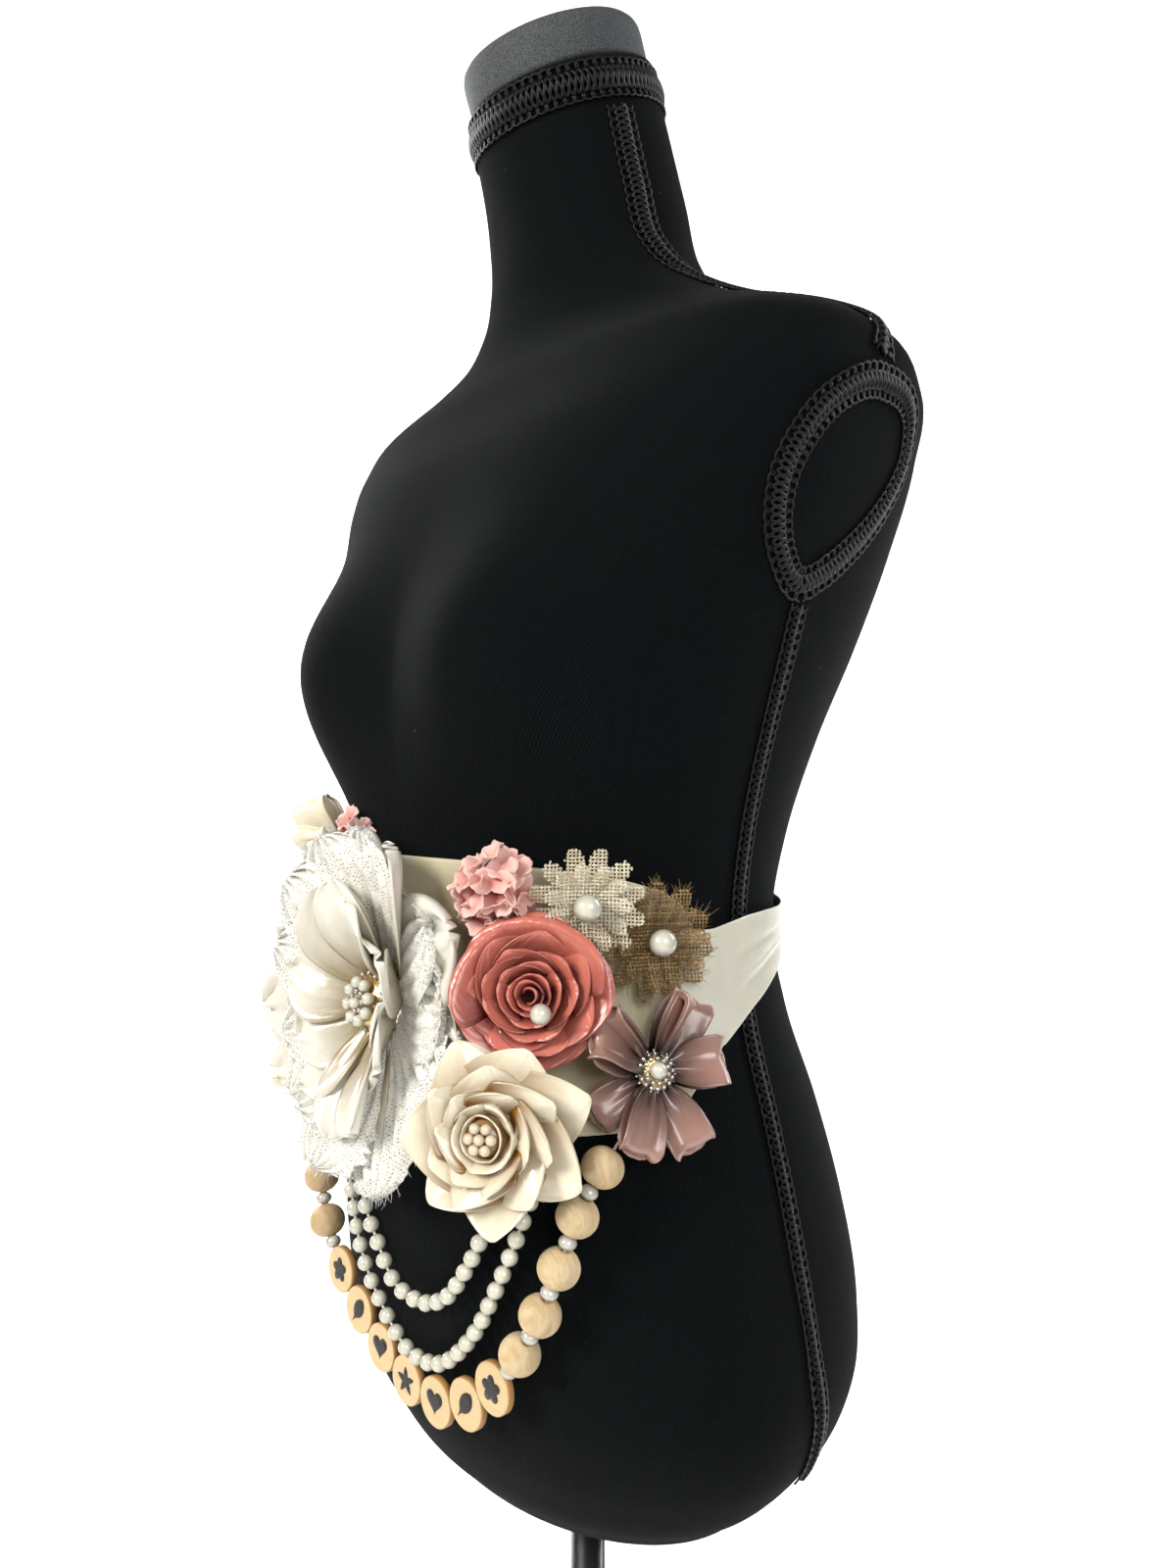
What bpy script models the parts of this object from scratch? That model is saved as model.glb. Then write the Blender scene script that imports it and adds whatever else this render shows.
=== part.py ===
import bpy
import math
import numpy as np
from mathutils import Matrix

# A flower-covered maternity belly sash on a limbless dress form with a pole and a round base.
# Metres, Z up, the floor at zero, the pole on the Z axis. The form faces -Y, and its left is +X.

for old in list(bpy.data.objects):
    bpy.data.objects.remove(old, do_unlink=True)

# Driving sizes: the stand, the trimming braid, the band, the ribbon, the glued flowers and the strands.
POLE_RADIUS, BASE_RADIUS, BASE_THICK, COLLAR_RADIUS = 0.0095, 0.160, 0.012, 0.020
TORSO_AROUND = 36
BRAID_THICK, BRAID_OFF = 0.0022, 0.0010
NECK_BRAID_WIDE, SHOULDER_BRAID_WIDE, ARM_BRAID_WIDE, SIDE_BRAID_WIDE = 0.019, 0.015, 0.016, 0.012
BAND_OFF, BAND_THICK = 0.0010, 0.0030
RIBBON_THICK = 0.0012
KNOT_WIDE, KNOT_TALL, KNOT_DEEP = 0.030, 0.030, 0.016
ON_BAND = BAND_OFF + BAND_THICK + 0.0006
BODY_GAP = 0.0008
THREAD_RADIUS, PEARL_RADIUS, PEARL_PITCH, SEWN_LEAD = 0.0009, 0.0040, 0.0092, 0.0110
WOOD_RADIUS, WOOD_LONG, SPACER_RADIUS, SPACER_LONG = 0.0095, 0.0170, 0.0042, 0.0066
DISC_RADIUS, DISC_HALF_THICK, DISC_COUNT, JOIN = 0.0120, 0.0020, 7, 0.0003
DEG = math.pi / 180

# material: colour in sRGB from 0 to 255, roughness, metallic
FINISHES = {
    "form_cloth": ((38, 41, 43), 0.90, 0.0),
    "trim_braid": ((22, 23, 25), 0.80, 0.0),
    "neck_cap": ((72, 76, 78), 0.60, 0.0),
    "stand_metal": ((24, 24, 26), 0.35, 1.0),
    "wool_felt": ((222, 214, 186), 0.95, 0.0),
    "ivory_satin": ((214, 208, 190), 0.38, 0.0),
    "white_satin": ((236, 231, 218), 0.36, 0.0),
    "white_lace": ((238, 236, 230), 0.80, 0.0),
    "coral_satin": ((206, 110, 98), 0.36, 0.0),
    "mauve_satin": ((164, 126, 116), 0.36, 0.0),
    "cream_satin": ((240, 229, 204), 0.36, 0.0),
    "pink_chiffon": ((230, 164, 156), 0.75, 0.0),
    "cream_burlap": ((216, 207, 184), 0.95, 0.0),
    "tan_burlap": ((154, 127, 90), 0.95, 0.0),
    "pearl": ((226, 228, 214), 0.22, 0.0),
    "gem": ((214, 196, 160), 0.20, 0.6),
    "wood": ((217, 189, 140), 0.55, 0.0),
    "birch": ((226, 191, 137), 0.50, 0.0),
}

# The form's level sections, from the underside of the hips to the top of the neck.
# height, half width, front depth, back depth, middle in Y, squareness
SECTIONS = np.array([
    (0.732, 0.048, 0.030, 0.040, 0.000, 2.00),
    (0.738, 0.078, 0.050, 0.068, 0.000, 2.00),
    (0.754, 0.107, 0.072, 0.098, 0.000, 2.10),
    (0.780, 0.132, 0.090, 0.118, 0.000, 2.15),
    (0.810, 0.145, 0.103, 0.126, 0.000, 2.25),
    (0.850, 0.146, 0.114, 0.130, 0.000, 2.25),
    (0.900, 0.138, 0.124, 0.126, 0.000, 2.20),
    (0.950, 0.126, 0.127, 0.114, 0.000, 2.15),
    (1.000, 0.112, 0.123, 0.097, 0.000, 2.10),
    (1.045, 0.106, 0.119, 0.088, 0.000, 2.10),
    (1.090, 0.111, 0.125, 0.100, 0.000, 2.10),
    (1.140, 0.124, 0.131, 0.119, 0.000, 2.15),
    (1.190, 0.140, 0.129, 0.138, 0.002, 2.25),
    (1.240, 0.156, 0.118, 0.138, 0.008, 2.45),
    (1.280, 0.169, 0.107, 0.122, 0.014, 2.70),
    (1.308, 0.175, 0.092, 0.100, 0.018, 2.90),
    (1.328, 0.169, 0.078, 0.080, 0.016, 2.70),
    (1.343, 0.143, 0.064, 0.068, 0.012, 2.20),
    (1.357, 0.108, 0.056, 0.062, 0.010, 2.00),
    (1.374, 0.080, 0.053, 0.060, 0.008, 2.00),
    (1.396, 0.064, 0.052, 0.057, 0.004, 2.00),
    (1.430, 0.057, 0.051, 0.054, -0.002, 2.00),
    (1.492, 0.051, 0.047, 0.050, -0.022, 2.00),
])
BUST_X, BUST_Z, BUST_WIDE, BUST_TALL, BUST_OUT = 0.070, 1.170, 0.048, 0.056, 0.027
NECK_FROM, NECK_TOP, NECK_TILT = 1.378, 1.492, 0.42


def section(z):
    """Half width, front depth, back depth, middle and squareness at height z."""
    heights = SECTIONS[:, 0]
    z = np.clip(z, heights[0], heights[-1])
    i = np.clip(np.searchsorted(heights, z) - 1, 0, len(heights) - 2)
    step = heights[i + 1] - heights[i]
    t = (z - heights[i]) / step
    found = []
    for column in range(1, 6):
        v = SECTIONS[:, column]
        slope = np.gradient(v, heights)
        found.append(
            (2 * t**3 - 3 * t**2 + 1) * v[i] + (t**3 - 2 * t**2 + t) * step * slope[i]
            + (3 * t**2 - 2 * t**3) * v[i + 1] + (t**3 - t**2) * step * slope[i + 1]
        )
    return found


def body(u, z):
    """The form's surface at u degrees round from the front towards its left, at height z."""
    u, z = np.broadcast_arrays(np.radians(np.asarray(u, float)), np.asarray(z, float))
    wide, front, back, middle, square = section(z)
    s, c = np.sin(u), np.cos(u)
    x = wide * np.sign(s) * np.abs(s) ** (2 / square)
    y = middle - np.where(c > 0, front, back) * np.sign(c) * np.abs(c) ** (2 / square)
    bust = np.exp(-((np.abs(x) - BUST_X) / BUST_WIDE) ** 2 - ((z - BUST_Z) / BUST_TALL) ** 2)
    y = y - BUST_OUT * bust * np.sqrt(np.clip(c, 0, 1))
    tilt = NECK_TILT * np.clip((z - NECK_FROM) / (NECK_TOP - NECK_FROM), 0, 1)
    return np.stack([x, y, z + tilt * (y - middle)], -1)


def slopes(u, z):
    """How the surface point moves for one degree of u and for one metre of z."""
    du, dz = 0.5, 0.0015
    along_u = (body(u + du, z) - body(u - du, z)) / (2 * du)
    along_z = (body(u, z + dz) - body(u, z - dz)) / (2 * dz)
    return along_u, along_z


def off_body(u, z, out):
    """A point moved straight out from the form's surface."""
    along_u, along_z = slopes(u, z)
    normal = np.cross(along_u, along_z)
    normal /= np.linalg.norm(normal, axis=-1, keepdims=True)
    return body(u, z) + normal * np.asarray(out)[..., None]


def material(name):
    """The named finish as a Principled material, made once."""
    if name in bpy.data.materials:
        return bpy.data.materials[name]
    made = bpy.data.materials.new(name)
    made.use_nodes = True
    colour, roughness, metallic = FINISHES[name]
    linear = [(c / 255 / 12.92) if c <= 10 else ((c / 255 + 0.055) / 1.055) ** 2.4 for c in colour]
    shader = made.node_tree.nodes["Principled BSDF"]
    shader.inputs["Base Color"].default_value = (*linear, 1.0)
    shader.inputs["Roughness"].default_value = roughness
    shader.inputs["Metallic"].default_value = metallic
    made.diffuse_color = (*linear, 1.0)
    return made


def add_empty(name, parent=None, matrix=None):
    empty = bpy.data.objects.new(name, None)
    empty.empty_display_size = 0.02
    empty.parent = parent
    if matrix is not None:
        empty.matrix_local = matrix
    bpy.context.scene.collection.objects.link(empty)
    return empty


dress_form = add_empty("dress_form")
sash = add_empty("sash")


def add_mesh(name, points, faces, finish, parent):
    mesh = bpy.data.meshes.new(name)
    mesh.from_pydata([tuple(map(float, p)) for p in points], [], faces)
    mesh.update()
    mesh.shade_smooth()
    mesh.set_sharp_from_angle(angle=48 * DEG)
    mesh.materials.append(material(finish))
    obj = bpy.data.objects.new(name, mesh)
    obj.parent = parent
    bpy.context.scene.collection.objects.link(obj)
    return obj


def add_stack(name, rings, finish, parent):
    """A closed solid through rings of equally many points, with flat ends."""
    rings = np.asarray(rings)
    count, around = rings.shape[:2]
    points = list(rings.reshape(-1, 3)) + [rings[0].mean(0), rings[-1].mean(0)]
    faces = []
    for i in range(count - 1):
        for j in range(around):
            k = (j + 1) % around
            faces.append((i * around + j, i * around + k, (i + 1) * around + k, (i + 1) * around + j))
    low, high, last = count * around, count * around + 1, (count - 1) * around
    for j in range(around):
        k = (j + 1) % around
        faces.append((low, k, j))
        faces.append((high, last + j, last + k))
    return add_mesh(name, points, faces, finish, parent)


def add_wall(name, inner, outer, finish, parent, ring=False):
    """A cloth wall between two grids of points. With ring, its rows close on themselves."""
    inner, outer = np.asarray(inner), np.asarray(outer)
    rows, cols = inner.shape[:2]
    points = list(inner.reshape(-1, 3)) + list(outer.reshape(-1, 3))
    up = rows * cols
    faces = []
    for i in range(rows if ring else rows - 1):
        n = (i + 1) % rows
        for j in range(cols - 1):
            a, b, c, d = i * cols + j, i * cols + j + 1, n * cols + j + 1, n * cols + j
            faces.append((a, b, c, d))
            faces.append((up + d, up + c, up + b, up + a))
        faces.append((i * cols, n * cols, up + n * cols, up + i * cols))
        a, b = i * cols + cols - 1, n * cols + cols - 1
        faces.append((b, a, up + a, up + b))
    if not ring:
        for j in range(cols - 1):
            faces.append((j + 1, j, up + j, up + j + 1))
            a, b = (rows - 1) * cols + j, (rows - 1) * cols + j + 1
            faces.append((a, b, up + b, up + a))
    return add_mesh(name, points, faces, finish, parent)


def curve_through(stops, count, ring=False):
    """Points evenly spread along a smooth curve through the stops."""
    stops = np.asarray(stops, float)
    if ring:
        stops = np.vstack([stops[-1:], stops, stops[:2]])
    else:
        stops = np.vstack([2 * stops[0] - stops[1], stops, 2 * stops[-1] - stops[-2]])
    t = np.linspace(0, 1, 13)[:-1, None]
    parts = []
    for a, b, c, d in zip(stops, stops[1:], stops[2:], stops[3:]):
        parts.append(0.5 * (2 * b + (c - a) * t + (2 * a - 5 * b + 4 * c - d) * t**2
                            + (3 * b - a - 3 * c + d) * t**3))
    fine = np.vstack(parts + [stops[-2:-1]])
    way = np.concatenate([[0], np.cumsum(np.linalg.norm(np.diff(fine, axis=0), axis=1))])
    at = np.linspace(0, way[-1], count + 1)[:-1] if ring else np.linspace(0, way[-1], count)
    return np.stack([np.interp(at, way, fine[:, k]) for k in range(fine.shape[1])], 1)


def seat(name, u, z, out, lean_up=0.0):
    """An empty on the form's surface, moved out from it: its Z points away from the cloth, its Y up."""
    along_u, along_z = slopes(u, z)
    normal = np.cross(along_u, along_z)
    normal /= np.linalg.norm(normal)
    origin = body(u, z) + normal * out
    away = normal + lean_up * np.array([0, 0, 1.0])
    away /= np.linalg.norm(away)
    up = np.cross(away, along_u)
    up /= np.linalg.norm(up)
    turn = Matrix(np.stack([np.cross(up, away), up, away], 1).tolist()).to_4x4()
    return add_empty(name, sash, Matrix.Translation(origin.tolist()) @ turn)


def circle(radius, z, count):
    turn = np.arange(count) * 2 * math.pi / count
    return np.stack([radius * np.cos(turn), radius * np.sin(turn), np.full(count, z)], 1)


# The form: a cloth-covered torso, a neck cap, trimming braid along its seams, the pole and the base.

EXTRA_LEVELS = [0.766, 0.829, 0.875, 0.925, 0.975, 1.022, 1.068, 1.115, 1.165, 1.215, 1.260, 1.350, 1.365,
                1.385, 1.411, 1.460]
levels = sorted(list(SECTIONS[:, 0]) + EXTRA_LEVELS)
turns = np.arange(TORSO_AROUND) * 360 / TORSO_AROUND
add_stack("torso", [body(turns, z) for z in levels], "form_cloth", dress_form)

neck_up = np.array([0, -NECK_TILT, 1.0]) / math.hypot(1, NECK_TILT)
neck_ring = body(np.arange(26) * 360 / 26, NECK_TOP)
neck_middle = neck_ring.mean(0)
# share of the neck's radius, height above the neck's flat top
CAP_RINGS = [(0.96, 0.0006), (0.96, 0.018), (0.92, 0.022), (0.80, 0.024)]
add_stack("neck_cap", [neck_middle + (neck_ring - neck_middle) * share + neck_up * rise
                       for share, rise in CAP_RINGS], "neck_cap", dress_form)


def add_braid(name, stops, count, width, across, ring=False):
    """Flat braid along stops of (degrees, height) on the form, as a thin wall."""
    stops = np.array(stops, float)
    scale = np.array([0.002, 1.0])
    path = curve_through(stops * scale, count, ring) / scale
    ahead = np.roll(path, -1, 0) - np.roll(path, 1, 0)
    if not ring:
        ahead[0], ahead[-1] = path[1] - path[0], path[-1] - path[-2]
    inner, outer = [], []
    for (u, z), (step_u, step_z) in zip(path, ahead):
        along_u, along_z = slopes(u, z)
        forward = along_u * step_u + along_z * step_z
        normal = np.cross(along_u, along_z)
        side = np.cross(normal, forward)
        side /= np.linalg.norm(side)
        move = np.linalg.lstsq(np.stack([along_u, along_z], 1), side, rcond=None)[0]
        offs = np.linspace(-width / 2, width / 2, across)
        us, zs = u + move[0] * offs, np.minimum(z + move[1] * offs, NECK_TOP)
        inner.append(off_body(us, zs, np.full(across, BRAID_OFF)))
        outer.append(off_body(us, zs, np.full(across, BRAID_OFF + BRAID_THICK)))
    return add_wall(name, inner, outer, "trim_braid", dress_form, ring)


around = np.arange(28) * 360 / 28
braid_rows = []
for out in (BRAID_OFF, BRAID_OFF + BRAID_THICK):
    braid_rows.append([off_body(around, NECK_TOP - 0.0025 - drop, np.full(28, out))
                       for drop in (NECK_BRAID_WIDE, NECK_BRAID_WIDE / 2, 0)])
add_wall("neck_braid", np.transpose(braid_rows[0], (1, 0, 2)), np.transpose(braid_rows[1], (1, 0, 2)),
         "trim_braid", dress_form, ring=True)

# Along the seams of the form's left side, in degrees from the front and height
SHOULDER_SEAM = [(72, 1.4665), (70, 1.430), (71, 1.392), (80, 1.369), (88, 1.353), (90, 1.340),
                 (90, 1.326), (89, 1.3100)]
ARMHOLE_SEAM = [(87, 1.206), (80, 1.216), (75, 1.236), (74, 1.258), (79, 1.282), (90, 1.298),
                (99, 1.292), (103, 1.274), (101, 1.250), (95, 1.226)]
SIDE_SEAM = [(88, 1.1972), (89, 1.150), (89, 1.060), (89, 0.960), (90, 0.860), (94, 0.800), (98, 0.772)]
for side, turn in (("left", 1), ("right", -1)):
    add_braid("shoulder_braid_" + side, [(turn * u, z) for u, z in SHOULDER_SEAM], 19,
              SHOULDER_BRAID_WIDE, 4)
    add_braid("armhole_braid_" + side, [(turn * u, z) for u, z in ARMHOLE_SEAM], 24,
              ARM_BRAID_WIDE, 3, ring=True)
    add_braid("side_braid_" + side, [(turn * u, z) for u, z in SIDE_SEAM], 22,
              SIDE_BRAID_WIDE, 2)


add_stack("base", [circle(BASE_RADIUS, 0, 48), circle(BASE_RADIUS, BASE_THICK - 0.003, 48),
                   circle(BASE_RADIUS - 0.003, BASE_THICK, 48)], "stand_metal", dress_form)
pole_foot = BASE_THICK + 0.0003
pole_long = SECTIONS[0, 0] - 0.0003 - pole_foot
pole = add_stack("pole", [circle(COLLAR_RADIUS, 0, 18), circle(COLLAR_RADIUS, 0.018, 18),
                          circle(POLE_RADIUS + 0.003, 0.024, 18), circle(POLE_RADIUS, 0.026, 18),
                          circle(POLE_RADIUS, pole_long, 18)], "stand_metal", dress_form)
pole.location.z = pole_foot

# The band: one strip of wool felt round the front, with rounded ends.

# degrees from the front, top edge, bottom edge
BAND_EDGES = np.array([
    (0, 1.081, 0.955),
    (20, 1.079, 0.955),
    (40, 1.075, 0.956),
    (56, 1.070, 0.958),
    (66, 1.064, 0.964),
    (71, 1.057, 0.974),
    (74, 1.046, 0.990),
])
half = np.array([0, 7, 14, 21, 28, 35, 42, 49, 56, 62, 67, 71, 74])
band_u = np.concatenate([-half[:0:-1], half])
band_top = np.interp(np.abs(band_u), BAND_EDGES[:, 0], BAND_EDGES[:, 1])
band_low = np.interp(np.abs(band_u), BAND_EDGES[:, 0], BAND_EDGES[:, 2])
band_z = [band_low + (band_top - band_low) * k / 5 for k in range(6)]
band_faces = []
for out in (BAND_OFF, BAND_OFF + BAND_THICK):
    rows = [off_body(band_u, z, np.full(len(band_u), out)) for z in band_z]
    band_faces.append(np.transpose(rows, (1, 0, 2)))
add_wall("felt_band", *band_faces, "wool_felt", sash)

# The ribbon: satin sewn over each end of the band, led round to a knot at the back, with two tails.

# degrees from the front, top edge, bottom edge, distance off the form
RIBBON_EDGES = np.array([
    (69, 1.046, 0.989, 0.0050),
    (74, 1.046, 0.989, 0.0050),
    (79, 1.046, 0.991, 0.0044),
    (90, 1.051, 1.007, 0.0042),
    (100, 1.053, 1.017, 0.0042),
    (112, 1.054, 1.027, 0.0040),
    (135, 1.058, 1.034, 0.0030),
    (155, 1.064, 1.041, 0.0030),
    (171, 1.068, 1.046, 0.0036),
])
ribbon_u = np.linspace(69, 171, 18)
ribbon_top, ribbon_low, ribbon_off = (
    np.interp(ribbon_u, RIBBON_EDGES[:, 0], RIBBON_EDGES[:, k]) for k in (1, 2, 3))
for side, turn in (("left", 1), ("right", -1)):
    grids = []
    for more in (0, RIBBON_THICK):
        grids.append(np.transpose([
            off_body(turn * ribbon_u, ribbon_low + (ribbon_top - ribbon_low) * k / 3, ribbon_off + more)
            for k in range(4)], (1, 0, 2)))
    add_wall("ribbon_" + side, *grids[::turn], "ivory_satin", sash)


# The tie at the back: a small knot over the ribbon's ends and two tails that hang from it.

knot = seat("knot_seat", 180, 1.058, 0.0012)
knot_rings = []
# share of the knot's size, share of its depth
for share, rise in [(0.72, 0.0), (0.96, 0.22), (1.0, 0.55), (0.82, 0.85), (0.50, 1.0)]:
    turn = np.arange(14) * 2 * math.pi / 14
    cos, sin = np.cos(turn), np.sin(turn)
    knot_rings.append(np.stack([
        np.sign(cos) * np.abs(cos) ** 0.7 * share * KNOT_WIDE / 2,
        np.sign(sin) * np.abs(sin) ** 0.7 * share * KNOT_TALL / 2,
        np.full(14, rise * KNOT_DEEP)], 1))
add_stack("ribbon_knot", knot_rings, "ivory_satin", knot)

# name, middle in degrees at the top and at the end, half width in degrees there, height of the end's
# inner and outer corners
TAILS = [
    ("ribbon_tail_left", 174.5, 164.0, 4.0, 9.5, 0.818, 0.796),
    ("ribbon_tail_right", 185.5, 197.0, 4.0, 9.5, 0.838, 0.814),
]
for name, top_u, end_u, top_half, end_half, inner_end, outer_end in TAILS:
    walls = []
    for more in (0, RIBBON_THICK):
        rows = []
        for k in range(4):
            share = np.linspace(1, 0, 11)
            lean = (k / 1.5 - 1)
            u = top_u + (end_u - top_u) * share**1.3 + lean * (top_half + (end_half - top_half) * share**0.6)
            outward = (lean + 1) / 2 if end_u > top_u else (1 - lean) / 2
            z = 1.0425 - share * (1.0425 - (inner_end + (outer_end - inner_end) * outward))
            rows.append(off_body(u, z, 0.0030 - 0.0014 * share + more))
        walls.append(np.array(rows))
    add_wall(name, *walls, "ivory_satin", sash)


def add_rosette(name, on, finish, petals, radius, base, thick, flat=0.2, rise=0.0, droop=0.0, notch=0.2,
                tip="round", ruffle=0.0, cols=4, rings=3, turn=0.0, low_side=0.0, low_way=0.0, short=0.0,
                wide=1.0, tall=1.0, pad=0.0, pad_up=0.0):
    """A cupped layer of petals as one closed wall with a lobed edge."""
    count = petals * cols
    j = np.arange(count)
    share = (j % cols) / cols
    lobe = 1 - np.abs(2 * share - 1) if tip == "point" else np.sin(math.pi * share) ** 0.6
    angle = 2 * math.pi * j / count + math.radians(turn)
    side = np.clip(np.cos(angle - math.radians(low_way)), 0, 1) ** 0.6
    lift = rise * (1 - low_side * side)

    def ring(s, above):
        r = radius * s * (1 - notch * (1 - lobe) * s**2) * (1 - short * side)
        reach = np.clip((r / radius - flat) / (1 - flat), 0, 1)
        height = base + lift * reach**1.6 - droop * reach**4 + ruffle * reach**2 * (2 * lobe - 1)
        return np.stack([r * np.cos(angle) * wide, r * np.sin(angle) * tall, height + above], 1)

    steps = np.linspace(flat, 1, rings + 1)
    stack = [ring(s, 0) for s in steps] + [ring(s, thick) for s in steps[::-1]]
    if pad:
        foot = np.stack([pad * np.cos(angle), pad_up + pad * np.sin(angle), np.zeros(count)], 1)
        neck = foot + np.array([0, 0, base])
        stack = [foot, neck] + stack
    return add_stack(name, stack, finish, on)


def add_heart(name, on, finish, radius, base, height, lobes, swirl=0.0, bump=0.0, around=20, squat=0.35,
              scallop=0.0, foot=0.80, stem=0.0, short=0.0, short_way=0.0,
              rings=((0.86, 0.80), (0.62, 0.95), (0.34, 1.0), (0.12, 1.0))):
    """A domed body with folds that run round it: a rose's rolled middle, a floret ball or a cluster."""
    angle = np.arange(around) * 2 * math.pi / around
    edge = radius * (1 - scallop * (0.5 - 0.5 * np.cos(lobes * angle)))
    edge *= 1 - short * np.clip(np.cos(angle - math.radians(short_way)), 0, 1) ** 2

    def ring(share, rise, fold):
        r = edge * share
        height_here = base + height * rise + fold * np.cos(lobes * angle + swirl * share)
        return np.stack([r * np.cos(angle), r * np.sin(angle), height_here], 1)

    stack = [ring(foot, 0, 0), ring(1.0, squat, 0)]
    if stem:
        stack.insert(1, ring(foot, stem, 0))
    for share, rise in rings:
        rise = max(rise, squat + 0.05)
        stack.append(ring(share, rise, bump * 4 * share * (1 - share)))
    return add_stack(name, stack, finish, on)


def add_pearl(name, on, finish, radius, base, x=0.0, y=0.0, around=10):
    """A half-drilled pearl with a small flat where it is glued."""
    rings = []
    for tilt in (-58, -22, 14, 50, 78):
        level = radius * (math.sin(58 * DEG) + math.sin(tilt * DEG))
        rings.append(circle(radius * math.cos(tilt * DEG), level, around))
    pearl = add_stack(name, rings, finish, on)
    pearl.location = (x, y, base)
    return pearl


# The flowers, from the big one at the front towards the form's left, then those on its right.
# Each is glued to the band by its flat foot, 0.6 mm off the felt.
big = seat("big_flower_seat", -4, 1.009, ON_BAND, lean_up=-0.03)
add_rosette("big_flower_satin_back", big, "white_satin", 8, 0.080, 0.0, 0.0018, flat=0.2, rise=0.020,
            notch=0.20, low_side=0.90, low_way=-25, short=0.13, wide=0.95, tall=1.04, turn=12)
add_rosette("big_flower_lace", big, "white_lace", 9, 0.083, 0.0023, 0.0014, flat=0.2, rise=0.027,
            notch=0.12, low_side=0.86, low_way=-25, short=0.15, ruffle=0.0015, wide=0.95, tall=1.06, turn=0)
add_rosette("big_flower_inner_petals", big, "white_satin", 6, 0.052, 0.0044, 0.0016, flat=0.3,
            rise=0.030, notch=0.22, low_side=0.25, low_way=0, wide=0.95, tall=1.12, turn=20, rings=3)
add_heart("big_flower_cluster", big, "pearl", 0.0145, 0.0064, 0.0170, 7, bump=0.0012, around=21,
          scallop=0.12)

tan = seat("tan_daisy_seat", 63, 1.041, ON_BAND)
add_rosette("burlap_daisy_tan", tan, "tan_burlap", 11, 0.0270, 0.0046, 0.0020, flat=0.35, rise=0.0,
            notch=0.30, rings=2, cols=3, turn=8, pad=0.006)
add_pearl("burlap_daisy_tan_pearl", tan, "pearl", 0.0064, 0.0069)

cream = seat("cream_daisy_seat", 47.5, 1.061, ON_BAND)
add_rosette("burlap_daisy_cream", cream, "cream_burlap", 12, 0.0258, 0.0104, 0.0020, flat=0.35,
            rise=0.001, notch=0.30, rings=2, cols=3, turn=0, pad=0.006)
add_pearl("burlap_daisy_cream_pearl", cream, "pearl", 0.0064, 0.0127)

pink = seat("pink_seat", 29.2, 1.0685, ON_BAND)
add_heart("hydrangea_pink", pink, "pink_chiffon", 0.0218, 0.0, 0.0225, 5, bump=0.0016, around=20,
          scallop=0.14, squat=0.74, foot=0.36, stem=0.58, short=0.30, short_way=-72)

coral = seat("coral_seat", 37, 1.017, ON_BAND)
add_rosette("rose_coral_petals", coral, "coral_satin", 5, 0.0350, 0.0158, 0.0022, flat=0.66,
            rise=0.005, notch=0.14, rings=2, cols=5, turn=20, pad=0.009, low_side=0.9, low_way=-110)
add_heart("rose_coral_heart", coral, "coral_satin", 0.0219, 0.0181, 0.0100, 3, swirl=7.0, bump=0.0016,
          around=24)
add_pearl("rose_coral_pearl", coral, "pearl", 0.0047, 0.0299, x=0.006, y=-0.008)

mauve = seat("mauve_seat", 59, 0.982, ON_BAND)
add_rosette("flower_mauve_petals", mauve, "mauve_satin", 7, 0.0345, 0.0090, 0.0045, flat=0.26, rise=-0.002,
            notch=0.42, rings=2, cols=4, turn=-14, pad=0.007)
add_pearl("flower_mauve_gem", mauve, "gem", 0.0082, 0.0138)

ivory = seat("ivory_seat", 29.5, 0.959, ON_BAND)
add_rosette("rose_ivory_petals", ivory, "cream_satin", 7, 0.0426, 0.0218, 0.0020, flat=0.66,
            rise=0.002, notch=0.20, tip="point", rings=2, cols=4, turn=8, pad=0.009, pad_up=0.012)
add_heart("rose_ivory_heart", ivory, "cream_satin", 0.0265, 0.0239, 0.0090, 7, swirl=3.0, bump=0.0018,
          around=28)
add_heart("rose_ivory_cluster", ivory, "pearl", 0.0082, 0.0342, 0.0050, 6, bump=0.0006, around=12,
          scallop=0.15)

far_loops = seat("far_loops_seat", -37, 1.074, ON_BAND)
add_rosette("ribbon_loops_ivory", far_loops, "cream_satin", 8, 0.0355, 0.0050, 0.0035, flat=0.30, rise=0.0,
            notch=0.34, rings=2, cols=3, turn=10, pad=0.006, pad_up=-0.003)
add_pearl("ribbon_loops_pearl", far_loops, "pearl", 0.0064, 0.0088)
far_pink = seat("far_pink_seat", -16.5, 1.097, BODY_GAP)
add_heart("hydrangea_pink_far", far_pink, "pink_chiffon", 0.0130, 0.0, 0.0150, 5, bump=0.0010,
          around=15, scallop=0.14, squat=0.70, foot=0.50)
far_mauve = seat("far_mauve_seat", -60, 1.000, ON_BAND)
add_rosette("flower_mauve_far_petals", far_mauve, "mauve_satin", 7, 0.0310, 0.0085, 0.0050, flat=0.26,
            rise=0.003, notch=0.42, rings=2, cols=4, turn=0, pad=0.007)
add_pearl("flower_mauve_far_gem", far_mauve, "gem", 0.0078, 0.0138)


# The strands. Each hangs in front of the form; its beads are threaded close together.


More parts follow.
